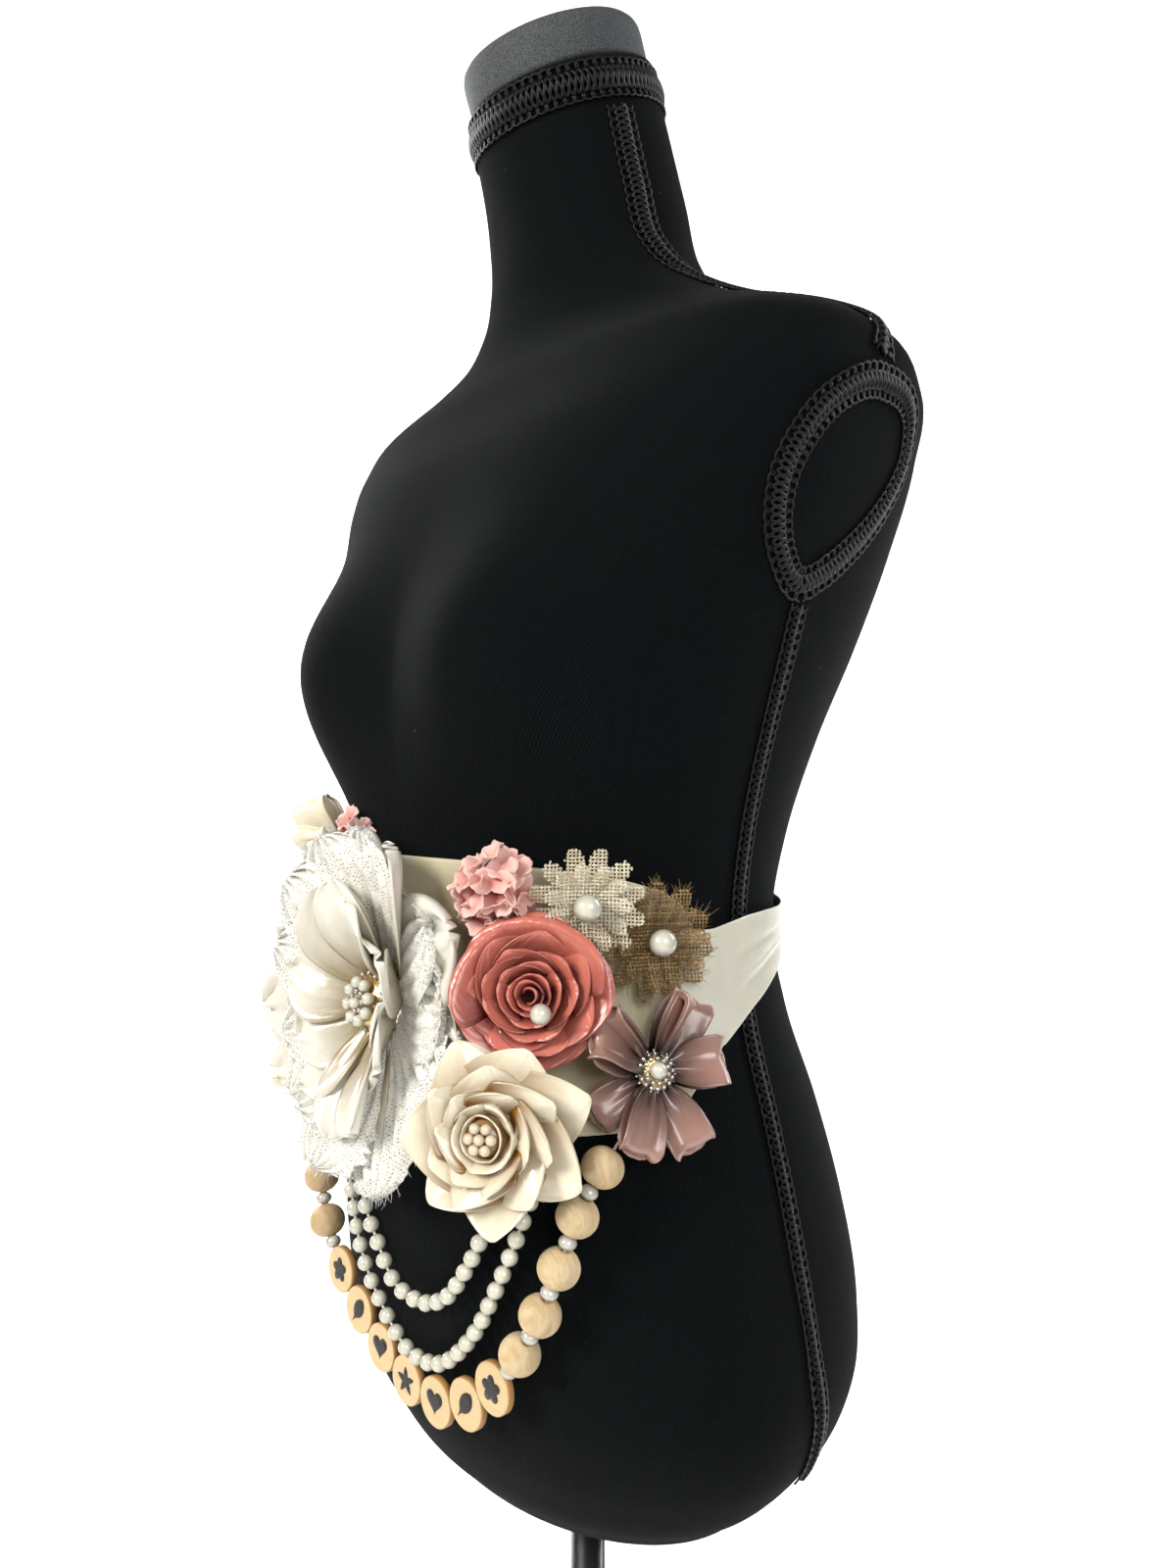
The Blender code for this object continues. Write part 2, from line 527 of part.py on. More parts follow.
def add_run(name, stops, pieces, sides, finish, start=0.0):
    """Beads along a curve as one closed solid. pieces are (half width, half depth, length, kind)."""
    fine = curve_through(stops, 400)
    way = np.concatenate([[0], np.cumsum(np.linalg.norm(np.diff(fine, axis=0), axis=1))])

    def at(s):
        return np.array([np.interp(s, way, fine[:, k]) for k in range(3)])

    # share of the length, share of the radius
    shapes = {
        "thread": [(0.0, 0.0), (1.0, 0.0)],
        "pearl": [(0.28, 0.96), (0.72, 0.96), (1.0, 0.0)],
        "ball": [(0.03, 0.30), (0.16, 0.76), (0.50, 1.0), (0.84, 0.76), (0.97, 0.30)],
        "small": [(0.0, 0.45), (0.30, 0.96), (0.70, 0.96), (1.0, 0.45)],
        "disc": [(0.015, 0.22), (0.16, 0.74), (0.50, 1.0), (0.84, 0.74), (0.985, 0.22)],
    }
    stations = []
    s = start
    for half_wide, half_deep, length, kind in pieces:
        for share, size in shapes[kind]:
            wide = max(half_wide * size, THREAD_RADIUS)
            deep = half_deep if kind == "disc" else max(half_deep * size, THREAD_RADIUS)
            stations.append((s + share * length, wide, deep))
        s += length
    if pieces[0][3] == "pearl":
        stations.insert(0, (start, THREAD_RADIUS, THREAD_RADIUS))
    turn = -np.arange(sides) * 2 * math.pi / sides
    rings = []
    for s, wide, deep in stations:
        forward = at(min(s + 0.001, way[-1])) - at(max(s - 0.001, 0))
        forward /= np.linalg.norm(forward)
        front = np.array([0, -1.0, 0]) + forward * forward[1]
        front /= np.linalg.norm(front)
        side = np.cross(forward, front)
        rings.append(at(s) + np.outer(np.cos(turn) * wide, side) + np.outer(np.sin(turn) * deep, front))
    return add_stack(name, rings, finish, sash)



def sewn(u, z):
    """Where a strand's thread is sewn down, just off the band's outer face."""
    return tuple(off_body(u, z, BAND_OFF + BAND_THICK + THREAD_RADIUS + 0.0005))


# The points each strand passes through, from the form's right to its left
INNER_STRAND = [sewn(-16, 0.961), (-0.0340, -0.1275, 0.9290), (-0.0300, -0.1272, 0.9080),
                (-0.0200, -0.1263, 0.8900), (-0.0070, -0.1253, 0.8735), (0.0136, -0.1246, 0.8700),
                (0.0315, -0.1245, 0.8770), (0.0445, -0.1243, 0.8915), (0.0555, -0.1237, 0.9090),
                (0.0630, -0.1215, 0.9300), sewn(31.5, 0.961)]
OUTER_STRAND = [sewn(-24, 0.961), (-0.0512, -0.1236, 0.9265), (-0.0466, -0.1232, 0.9030),
                (-0.0415, -0.1222, 0.8825), (-0.0322, -0.1207, 0.8640), (-0.0120, -0.1182, 0.8415),
                (0.0077, -0.1180, 0.8378), (0.0265, -0.1184, 0.8447), (0.0469, -0.1191, 0.8647),
                (0.0600, -0.1194, 0.8855), (0.0700, -0.1178, 0.9060), (0.0786, -0.1143, 0.9300),
                sewn(40.5, 0.961)]
WOOD_STRAND = [sewn(-46, 0.966), (-0.0985, -0.1065, 0.9460), (-0.0975, -0.1105, 0.9220),
               (-0.0940, -0.1120, 0.8980), (-0.0850, -0.1130, 0.8760), (-0.0670, -0.1140, 0.8555),
               (-0.0475, -0.1145, 0.8400), (-0.0260, -0.1150, 0.8280), (-0.0030, -0.1155, 0.8210),
               (0.0190, -0.1160, 0.8210), (0.0400, -0.1160, 0.8290), (0.0580, -0.1165, 0.8430),
               (0.0740, -0.1170, 0.8620), (0.0860, -0.1160, 0.8820), (0.0950, -0.1130, 0.9045),
               (0.1010, -0.1080, 0.9265), (0.1080, -0.1010, 0.9462), (0.1090, -0.0880, 0.9600),
               sewn(55, 0.969)]


def pearls(count):
    return [(PEARL_RADIUS, PEARL_RADIUS, PEARL_PITCH, "pearl")] * count


def curve_length(stops):
    fine = curve_through(stops, 400)
    return np.linalg.norm(np.diff(fine, axis=0), axis=1).sum()


for name, stops in (("pearl_strand_inner", INNER_STRAND), ("pearl_strand_outer", OUTER_STRAND)):
    room = curve_length(stops)
    count = int((room - 2 * SEWN_LEAD) / PEARL_PITCH)
    lead = (room - count * PEARL_PITCH) / 2
    ends = [(THREAD_RADIUS, THREAD_RADIUS, lead, "thread")]
    add_run(name, stops, ends + pearls(count) + ends, 6, "pearl")

wood = (WOOD_RADIUS, WOOD_RADIUS, WOOD_LONG, "ball")
spacer = (SPACER_RADIUS, SPACER_RADIUS, SPACER_LONG, "small")
disc = (DISC_RADIUS, DISC_HALF_THICK, 2 * DISC_RADIUS + 0.0002, "disc")
run_left = [wood, spacer] * 4
run_right = [spacer, wood] * 5
left_long = 0.1082
lead = left_long - 4 * (WOOD_LONG + SPACER_LONG)
discs_long = DISC_COUNT * disc[2]
add_run("wood_strand_right_side", WOOD_STRAND, [(THREAD_RADIUS, THREAD_RADIUS, lead, "thread")] + run_left,
        8, "wood")
add_run("wood_discs", WOOD_STRAND, [disc] * DISC_COUNT, 8, "birch", start=left_long + JOIN)
right_start = left_long + discs_long + 2 * JOIN
right_lead = curve_length(WOOD_STRAND) - right_start - 5 * (WOOD_LONG + SPACER_LONG)
add_run("wood_strand_left_side", WOOD_STRAND,
        run_right + [(THREAD_RADIUS, THREAD_RADIUS, right_lead, "thread")],
        8, "wood", start=right_start)
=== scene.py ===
import bpy
import math
import numpy as np
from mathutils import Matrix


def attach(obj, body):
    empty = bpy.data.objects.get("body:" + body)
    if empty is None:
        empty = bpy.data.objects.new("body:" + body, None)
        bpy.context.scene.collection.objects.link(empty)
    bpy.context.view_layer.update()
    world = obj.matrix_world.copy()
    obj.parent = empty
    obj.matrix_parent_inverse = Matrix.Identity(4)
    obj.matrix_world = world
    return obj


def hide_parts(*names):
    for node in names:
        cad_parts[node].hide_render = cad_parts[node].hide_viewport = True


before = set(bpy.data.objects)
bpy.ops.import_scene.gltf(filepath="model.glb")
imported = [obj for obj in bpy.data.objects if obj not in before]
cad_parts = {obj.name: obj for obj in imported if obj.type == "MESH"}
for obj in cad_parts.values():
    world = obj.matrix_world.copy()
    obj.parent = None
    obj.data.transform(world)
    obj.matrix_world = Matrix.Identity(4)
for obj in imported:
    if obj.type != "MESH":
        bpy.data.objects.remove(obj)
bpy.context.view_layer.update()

# The dress form's torso: a moulded shell covered in black cotton jersey, pulled tight over the bust and
# hips. The table gives the shell's level sections, from the underside of the hips to the top of the neck.
DEG, MM = math.pi / 180, 0.001
# height, half width, front depth, back depth and middle in Y in millimetres, squareness
SECTIONS = np.array([
    (732, 48, 30, 40, 0, 2.00), (738, 78, 50, 68, 0, 2.00), (754, 107, 72, 98, 0, 2.10),
    (780, 132, 90, 118, 0, 2.15), (810, 145, 103, 126, 0, 2.25), (850, 146, 114, 130, 0, 2.25),
    (900, 138, 124, 126, 0, 2.20), (950, 126, 127, 114, 0, 2.15), (1000, 112, 123, 97, 0, 2.10),
    (1045, 106, 119, 88, 0, 2.10), (1090, 111, 125, 100, 0, 2.10), (1140, 124, 131, 119, 0, 2.15),
    (1190, 140, 129, 138, 2, 2.25), (1240, 156, 118, 138, 8, 2.45), (1280, 169, 107, 122, 14, 2.70),
    (1308, 175, 92, 100, 18, 2.90), (1328, 169, 78, 80, 16, 2.70), (1343, 143, 64, 68, 12, 2.20),
    (1357, 108, 56, 62, 10, 2.00), (1374, 80, 53, 60, 8, 2.00), (1396, 64, 52, 57, 4, 2.00),
    (1430, 57, 51, 54, -2, 2.00), (1492, 51, 47, 50, -22, 2.00)]) * (MM, MM, MM, MM, MM, 1)
BUST_X, BUST_Z, BUST_WIDE, BUST_TALL, BUST_OUT = 0.070, 1.170, 0.048, 0.056, 0.027
NECK_FROM, NECK_TOP, NECK_TILT = 1.378, 1.492, 0.42


def body(u, z):
    """The form's surface: a squared ellipse through the sections at height z, u degrees round from the
    front towards its left, with two rounded busts, and the neck's levels tilted towards the back."""
    u, z = np.broadcast_arrays(np.asarray(u, float) * DEG, np.asarray(z, float))
    heights = SECTIONS[:, 0]
    level = np.clip(z, heights[0], heights[-1])
    i = np.clip(np.searchsorted(heights, level) - 1, 0, len(heights) - 2)
    step = heights[i + 1] - heights[i]
    t = (level - heights[i]) / step
    found = []
    for v in SECTIONS.T[1:]:
        slope = np.gradient(v, heights)
        found.append((2 * t**3 - 3 * t**2 + 1) * v[i] + (t**3 - 2 * t**2 + t) * step * slope[i]
                     + (3 * t**2 - 2 * t**3) * v[i + 1] + (t**3 - t**2) * step * slope[i + 1])
    wide, front, back, middle, square = found
    s, c = np.sin(u), np.cos(u)
    x = wide * np.sign(s) * np.abs(s) ** (2 / square)
    y = middle - np.where(c > 0, front, back) * np.sign(c) * np.abs(c) ** (2 / square)
    bust = np.exp(-((np.abs(x) - BUST_X) / BUST_WIDE) ** 2 - ((z - BUST_Z) / BUST_TALL) ** 2)
    y = y - BUST_OUT * bust * np.sqrt(np.clip(c, 0, 1))
    tilt = NECK_TILT * np.clip((z - NECK_FROM) / (NECK_TOP - NECK_FROM), 0, 1)
    return np.stack([x, y, z + tilt * (y - middle)], -1)


def unit(v):
    """Vectors drawn out or shortened to length one."""
    return v / np.maximum(np.linalg.norm(v, axis=-1, keepdims=True), 1e-12)


def slopes(u, z):
    """How the surface point moves for one degree of u and for one metre of z, and the way out."""
    along_u = body(u + 0.5, z) - body(u - 0.5, z)
    along_z = (body(u, z + 0.0015) - body(u, z - 0.0015)) / 0.003
    return along_u, along_z, unit(np.cross(along_u, along_z))


def off_body(u, z, out):
    """A point moved straight out from the form's surface."""
    return body(u, z) + slopes(u, z)[2] * np.asarray(out)[..., None]


def linear(colour):
    """An sRGB hex colour as linear red, green and blue, and full alpha."""
    c = np.array([int(colour[k:k + 2], 16) for k in (1, 3, 5)]) / 255
    return (*np.where(c <= 0.04045, c / 12.92, ((c + 0.055) / 1.055) ** 2.4).tolist(), 1.0)


def add(tree, kind, inputs, output=0, **settings):
    """Adds one node and gives one of its outputs. The kind is the node's type after "ShaderNode". An input
    is a plain value, a hex colour, or an output to link from."""
    node = tree.nodes.new("ShaderNode" + kind)
    for name, value in settings.items():
        setattr(node, name, value)
    for name, value in inputs.items():
        if isinstance(value, bpy.types.NodeSocket):
            tree.links.new(value, node.inputs[name])
        else:
            node.inputs[name].default_value = linear(value) if isinstance(value, str) else value
    return node.outputs[output]


def new_material(name, **sockets):
    """A Principled material with these constant socket values, and its node tree."""
    made = bpy.data.materials.new(name)
    made.use_nodes = True
    for socket, value in sockets.items():
        made.node_tree.nodes["Principled BSDF"].inputs[socket.replace("_", " ")].default_value = value
    return made, made.node_tree


def show(tree, **outputs):
    """Links these outputs to the shader's sockets that they are named after."""
    for socket, output in outputs.items():
        tree.links.new(output, tree.nodes["Principled BSDF"].inputs[socket.replace("_", " ")])


def lattice(rows, cols, ring=False):
    """Row and column numbers of the corners of each square of a grid. With ring, the rows close."""
    i, j = np.meshgrid(np.arange(rows if ring else rows - 1), np.arange(cols - 1), indexing="ij")
    i, j = i.ravel(), j.ravel()
    return np.stack([i, i + 1, i + 1, i], 1), np.stack([j, j, j + 1, j + 1], 1)


def along(path):
    """The distance from a path's start to each of its points."""
    return np.concatenate([[0], np.cumsum(np.linalg.norm(np.diff(path, axis=0), axis=1))])


def lengths(grid, ring=False):
    """Mean distance along the rows and along the columns of a grid, in metres, as UV coordinates."""
    closed = np.concatenate([grid, grid[:1]]) if ring else grid
    rows = np.linalg.norm(np.diff(closed, axis=0), axis=-1).mean(1)
    cols = np.linalg.norm(np.diff(grid, axis=1), axis=-1).mean(0)
    return np.concatenate([[0], np.cumsum(rows)]), np.concatenate([[0], np.cumsum(cols)])


def skin(grid, ring=False, caps=False, tone=0.0):
    """A surface through a grid of points, facing rows x columns; caps close the first and last column."""
    rows, cols = grid.shape[:2]
    i, j = lattice(rows, cols, ring)
    u, v = lengths(grid, ring)
    quads, uv = (i % rows) * cols + j, np.stack([u[i], v[j]], -1)
    points, tone = grid.reshape(-1, 3), np.broadcast_to(tone, (rows, cols)).ravel()
    if caps:
        k = np.arange(0, rows, 2)
        for edge, middle in ((0, rows * cols), (cols - 1, rows * cols + 1)):
            a, b, c = (k * cols + edge, (k + 1) % rows * cols + edge, (k + 2) % rows * cols + edge)
            m = np.full(len(k), middle)
            quads = np.concatenate([quads, np.stack([m, a, b, c] if edge else [m, c, b, a], 1)])
            uv = np.concatenate([uv, np.zeros((len(k), 4, 2))])
        points = np.concatenate([points, grid[:, 0].mean(0)[None], grid[:, -1].mean(0)[None]])
        tone = np.concatenate([tone, tone[:2]])
    return points, quads, uv, tone


def put(name, parts, material, nodes=()):
    """One object made of several surfaces, shaded smooth, riding on the part in place of its CAD nodes."""
    starts = np.cumsum([0] + [len(p[0]) for p in parts])
    points, uv, tone = (np.concatenate([p[k] for p in parts]) for k in (0, 2, 3))
    quads = np.concatenate([p[1] + s for p, s in zip(parts, starts)])
    mesh = bpy.data.meshes.new(name)
    mesh.vertices.add(len(points))
    mesh.vertices.foreach_set("co", points.astype(np.float32).ravel())
    mesh.loops.add(quads.size)
    mesh.loops.foreach_set("vertex_index", quads.astype(np.int32).ravel())
    mesh.polygons.add(len(quads))
    mesh.polygons.foreach_set("loop_start", np.arange(0, quads.size, 4, dtype=np.int32))
    mesh.update(calc_edges=True)
    mesh.uv_layers.new(name="UVMap").data.foreach_set("uv", uv.astype(np.float32).ravel())
    mesh.attributes.new("tone", "FLOAT", "POINT").data.foreach_set("value", tone.astype(np.float32))
    mesh.shade_smooth()
    mesh.materials.append(material)
    made = bpy.data.objects.new(name, mesh)
    bpy.context.scene.collection.objects.link(made)
    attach(made, "root")
    if nodes:
        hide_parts(*nodes)
    return made


# Cotton jersey, knitted: it gives a matt near-black with faint upright ribs of loops, a sheen of fibre
# ends where the light grazes it, and a few specks of lint.
# A real rib is 0.5 mm apart. It is drawn 1.3 mm apart, because a finer one doesn't show at this size.
# A wave of scale 1 repeats every WAVE_LONG metres.
JERSEY_RIB, KNIT_LOOP, LINT_APART, WAVE_LONG = 0.0013, 0.0011, 0.030, 0.314
jersey, tree = new_material("cotton_jersey_black", Roughness=0.95, Sheen_Weight=0.02, Sheen_Roughness=0.5,
                            Specular_IOR_Level=0.04)
cloth_uv = add(tree, "TexCoord", {}, "UV")
turned = add(tree, "Mapping", {"Vector": cloth_uv, "Rotation": (0, 0, 0.35)})
ribs = add(tree, "TexWave", {"Vector": turned, "Scale": WAVE_LONG / JERSEY_RIB, "Distortion": 1.5,
                             "Detail": 2.0, "Detail Scale": 2.0}, "Fac")
loops = add(tree, "TexNoise", {"Vector": cloth_uv, "Scale": 1 / KNIT_LOOP})
weave = add(tree, "Math", {0: ribs, 1: loops}, operation="MULTIPLY")
fade = add(tree, "TexNoise", {"Vector": cloth_uv, "Scale": 14.0})
lint = add(tree, "TexVoronoi", {"Vector": cloth_uv, "Scale": 1 / LINT_APART}, "Distance")
speck = add(tree, "MapRange", {"Value": lint, "From Min": 0.010, "From Max": 0.022, "To Min": 1.0,
                               "To Max": 0.0})
black = add(tree, "Mix", {0: weave, 6: "#030405", 7: "#1d2123"}, 2, data_type="RGBA")
faded = add(tree, "Mix", {0: fade, 6: black, 7: "#0b0e10"}, 2, data_type="RGBA")
flecked = add(tree, "Mix", {0: speck, 6: faded, 7: "#5a5d5c"}, 2, data_type="RGBA")
raised = add(tree, "Bump", {"Height": weave, "Strength": 0.5, "Distance": 0.0004})
show(tree, Base_Color=flecked, Normal=raised)
hem_z, top_z = np.linspace(0.7320, 0.7600, 40), np.linspace(0.7600, 1.4915, 220)[1:]
around = np.arange(160)[:, None] * 360 / 160
put("torso_jersey", [skin(body(around, np.concatenate([hem_z, top_z])), ring=True, caps=True)], jersey,
    ["torso"])

# The neck cap: a plug under mottled charcoal cloth that closes the top of the neck. It has a soft
# rounded shoulder, and lies in the neck's tilted top.
# share of the neck's radius, height above its flat top in millimetres
CAP_SHOULDER = [(0.955, 0.8), (0.962, 3.0), (0.962, 15.0), (0.955, 18.5), (0.935, 21.0),
                (0.900, 22.8), (0.850, 23.7), (0.700, 24.2), (0.350, 24.4), (0.040, 24.5)]
cap_cloth, tree = new_material("cap_cloth_charcoal", Roughness=0.75, Specular_IOR_Level=0.3)
spots = add(tree, "TexNoise", {"Scale": 130.0, "Detail": 5.0})
sharp = add(tree, "MapRange", {"Value": spots, "From Min": 0.35, "From Max": 0.68})
show(tree, Base_Color=add(tree, "Mix", {0: sharp, 6: "#26292b", 7: "#5d6163"}, 2, data_type="RGBA"))
neck_up = unit(np.array([0, -NECK_TILT, 1.0]))
neck_ring = body(np.arange(72) * 5.0, NECK_TOP)
neck_middle = neck_ring.mean(0)
share, rise = np.array(CAP_SHOULDER).T
cap = neck_middle + (neck_ring - neck_middle)[:, None] * share[:, None] + neck_up * rise[:, None] * MM
put("neck_cap_cloth", [skin(cap, ring=True, caps=True)], cap_cloth, ["neck_cap"])

# The trimming braid: black rayon gimp glued along the seams. Each edge is one cord curled into small
# loops, and three cords are plaited down the middle, which gives the row of chevrons.
LOOP_PITCH, LOOP_OUT, LOOP_RISE, EDGE_IN = 0.0048, 0.0016, 0.0002, 0.0019
PLAIT_IN, PLAIT_RISE, CORD_RADIUS, BRAID_LIFT = 0.0042, 0.0007, 0.00072, 0.0010


def curve_through(stops, count, ring=False):
    """Points evenly spread along a smooth curve through the stops (a Catmull-Rom spline)."""
    stops = np.asarray(stops, float)
    if ring:
        stops = np.vstack([stops[-1:], stops, stops[:2]])
    else:
        stops = np.vstack([2 * stops[0] - stops[1], stops, 2 * stops[-1] - stops[-2]])
    t = np.linspace(0, 1, 13)[:-1, None]
    parts = []
    for a, b, c, d in zip(stops, stops[1:], stops[2:], stops[3:]):
        parts.append(0.5 * (2 * b + (c - a) * t + (2 * a - 5 * b + 4 * c - d) * t**2
                            + (3 * b - a - 3 * c + d) * t**3))
    fine = np.vstack(parts + [stops[-2:-1]])
    way = along(fine)
    at = np.linspace(0, way[-1], count + 1)[:-1] if ring else np.linspace(0, way[-1], count)
    return np.stack([np.interp(at, way, column) for column in fine.T], 1)


def tube(path, radius, away, sides=4):
    """A round cord along a path. away points out from what it lies on, and needn't be square to it."""
    forward = unit(np.gradient(path, axis=0))
    side = unit(np.cross(np.broadcast_to(away, path.shape), forward))
    a = (np.arange(sides)[:, None, None] + 0.5) * 2 * math.pi / sides
    grid = path + (np.cos(a) * side + np.sin(a) * np.cross(forward, side)) * radius
    return skin(grid, ring=True, caps=True)


def along_seam(stops, ring):
    """How to lay trimming along a seam: the seam's length, and a function from distance along it,
    distance across it and height above the form to a point and the direction away from the form."""
    scale = np.array([0.002, 1.0])
    path = curve_through(np.array(stops, float) * scale, 600, ring) / scale
    if ring:
        path = np.concatenate([path, path[:1]])
    way = along(body(*path.T))

    def lay(s, across, up):
        (u, z), ahead, behind = ([np.interp(p, way, column) for column in path.T]
                                 for p in (s, s + 0.002, s - 0.002))
        along_u, along_z, away = slopes(u, z)
        forward = sum(slope * (one - other)[:, None]
                      for slope, one, other in zip((along_u, along_z), ahead, behind))
        side = unit(np.cross(away, forward))
        uu, uz, zz = (along_u**2).sum(-1), (along_u * along_z).sum(-1), (along_z**2).sum(-1)
        su, sz = (side * along_u).sum(-1), (side * along_z).sum(-1)
        area = uu * zz - uz**2
        u = u + (zz * su - uz * sz) / area * across
        z = np.minimum(z + (uu * sz - uz * su) / area * across, NECK_TOP)
        return off_body(u, z, np.broadcast_to(up, u.shape)), away

    return way[-1], lay


def twined(name, scale, dark, light, distortion=0.0, **sockets):
    """Yarn wound round a core, so each cord has a fine slanting twist and a small highlight."""
    made, tree = new_material(name, **sockets)
    uv = add(tree, "TexCoord", {}, "UV")
    wound = add(tree, "TexWave", {"Vector": uv, "Scale": scale, "Distortion": distortion}, "Fac",
                bands_direction="DIAGONAL")
    show(tree, Base_Color=add(tree, "Mix", {0: wound, 6: dark, 7: light}, 2, data_type="RGBA"))
    return made


def add_braid(name, node, stops, width, ring=False):
    """Two looped edge cords and a three-cord plait along a seam, in place of the plain CAD strip."""
    long, lay = along_seam(stops, ring)
    periods = round(long / LOOP_PITCH)
    turn = np.linspace(0, periods * 2 * math.pi, periods * 12 + 1)
    s = turn / turn[-1] * long
    edge, middle = width / 2 - EDGE_IN, width / 2 - PLAIT_IN
    cords = []
    for side in (-1, 1):
        path, away = lay(s + 0.0017 * np.sin(turn), side * (edge + LOOP_OUT * np.cos(turn)),
                         BRAID_LIFT + LOOP_RISE * np.cos(turn))
        cords.append(tube(path, CORD_RADIUS, away))
    for k in range(3):
        phase = turn / 2 + k * 2 * math.pi / 3
        path, away = lay(s, middle * np.sin(phase), BRAID_LIFT + 0.0005 + PLAIT_RISE * np.cos(2 * phase))
        cords.append(tube(path, CORD_RADIUS * 1.45, away))
    put(name, cords, rayon, [node])


# width, then degrees from the front and height along the seam of the form's left side
BRAIDS = {
    "shoulder": (0.015, [(72, 1.4665), (70, 1.430), (71, 1.392), (80, 1.369), (88, 1.353), (90, 1.340),
                         (90, 1.326), (89, 1.3100)]),
    "armhole": (0.016, [(87, 1.206), (80, 1.216), (75, 1.236), (74, 1.258), (79, 1.282), (90, 1.298),
                        (99, 1.292), (103, 1.274), (101, 1.250), (95, 1.226)]),
    "side": (0.012, [(88, 1.1972), (89, 1.150), (89, 1.060), (89, 0.960), (90, 0.860), (94, 0.800),
                     (97, 0.778)])}
rayon = twined("rayon_gimp_black", 420.0, "#020202", "#0c0d0e", 1.0, Roughness=0.48,
               Specular_IOR_Level=0.26)
add_braid("neck_braid_gimp", "neck_braid", [(u, NECK_TOP - 0.0120) for u in range(180, 541, 20)], 0.019)
for side, turn in (("left", 1), ("right", -1)):
    for part, (width, seam) in BRAIDS.items():
        add_braid(f"{part}_gimp_{side}", f"{part}_braid_{side}", [(turn * u, z) for u, z in seam], width,
                  ring=part == "armhole")

# The stand: a turned steel base and a pole in a short collar, both in glossy black powder paint.
# millimetres: radii of the pole, its collar and the base, thickness of the base, and heights
POLE, COLLAR, BASE, BASE_THICK, POLE_FOOT, POLE_TOP = 9.5, 20, 160, 12, 12.3, 731.5


def lathe(outline, around, place=(np.zeros(3), np.eye(3)), middle=(0, 0, 0), tone=0.0):
    """A turned shape: each (radius, height) of the outline, in millimetres, becomes a ring about the
    third axis of its place, and its first and last rings are closed. middle moves it within its place."""
    r, h = np.array(outline, float).T
    a = np.arange(around)[:, None] * 2 * math.pi / around
    local = np.stack([r * np.cos(a), r * np.sin(a), np.broadcast_to(h, (around, len(r)))], -1)
    return skin(place[0] + (local + middle) * MM @ place[1], ring=True, caps=True, tone=tone)


def two_tone(name, scale, first, second, relief=0.0, **sockets):
    """A finish that varies between two near colours in small spots, with a relief as fine."""
    made, tree = new_material(name, **sockets)
    spots = add(tree, "TexNoise", {"Scale": scale})
    show(tree, Base_Color=add(tree, "Mix", {0: spots, 6: first, 7: second}, 2, data_type="RGBA"))
    if relief:
        show(tree, Normal=add(tree, "Bump", {"Height": spots, "Strength": relief, "Distance": 0.0003}))
    return made


black_paint = two_tone("painted_steel_black", 900.0, "#0c0c0d", "#17181a", 0.12, Roughness=0.30,
                       Coat_Weight=0.4, Coat_Roughness=0.12)
base_outline = [(30, 0), (BASE - 1, 0), (BASE, 1), (BASE, 8.5), (BASE - 1, 10.7), (BASE - 3, BASE_THICK),
                (22, BASE_THICK)]
pole_outline = [(COLLAR - 1, POLE_FOOT), (COLLAR, POLE_FOOT + 1), (COLLAR, POLE_FOOT + 17),
                (COLLAR - 1, POLE_FOOT + 18), (POLE + 3, POLE_FOOT + 24), (POLE, POLE_FOOT + 26),
                (POLE, POLE_TOP)]
put("base_plate", [lathe(base_outline, 128)], black_paint, ["base"])
put("pole_and_collar", [lathe(pole_outline, 96)], black_paint, ["pole"])

# The band: one strip of thick cream wool felt round the front of the waist. Its cut edge is rounded and
# shows above the flowers, and all of them are glued or sewn to it.
BAND_OFF, BAND_THICK, BAND_END = 0.0010, 0.0030, 74
# degrees from the front, top edge, bottom edge
BAND_EDGES = np.array([(0, 1.081, 0.955), (20, 1.079, 0.955), (40, 1.075, 0.956), (56, 1.070, 0.958),
                       (66, 1.064, 0.964), (71, 1.057, 0.974), (BAND_END, 1.046, 0.990)])
u = BAND_END * np.sin(np.linspace(-90, 90, 121) * DEG)
top, low = (np.interp(np.abs(u), BAND_EDGES[:, 0], BAND_EDGES[:, k]) for k in (1, 2))
face, bend = np.linspace(0, 1, 16), np.linspace(0, 180, 7)[1:-1] * DEG
shares = np.concatenate([face, np.ones(5), face[::-1], np.zeros(5)])
over = np.concatenate([np.zeros(16), np.sin(bend), np.zeros(16), -np.sin(bend)]) * BAND_THICK / 2
out = BAND_OFF + BAND_THICK * np.concatenate([np.ones(16), (1 + np.cos(bend)) / 2, np.zeros(16),
                                              (1 - np.cos(bend)) / 2])
felt_z = low + (top - low) * shares[:, None] * 0.976 + 0.0015 + over[:, None]
felt_grid = off_body(u[None], felt_z, np.broadcast_to(out[:, None], felt_z.shape))
felt, tree = new_material("wool_felt_cream", Roughness=0.95, Sheen_Weight=0.35, Specular_IOR_Level=0.15)
fluff = add(tree, "TexNoise", {"Scale": 700.0, "Detail": 6.0, "Roughness": 0.7})
patches = add(tree, "TexNoise", {"Scale": 60.0})
wool = add(tree, "Mix", {0: fluff, 6: "#bfb490", 7: "#e6dfc3"}, 2, data_type="RGBA")
show(tree, Base_Color=add(tree, "Mix", {0: patches, 6: wool, 7: "#d2c8a4"}, 2, data_type="RGBA"),
     Normal=add(tree, "Bump", {"Height": fluff, "Strength": 0.6, "Distance": 0.0008}))
band = put("felt_band_cloth", [skin(felt_grid[::-1], ring=True, caps=True)], felt, ["felt_band"])

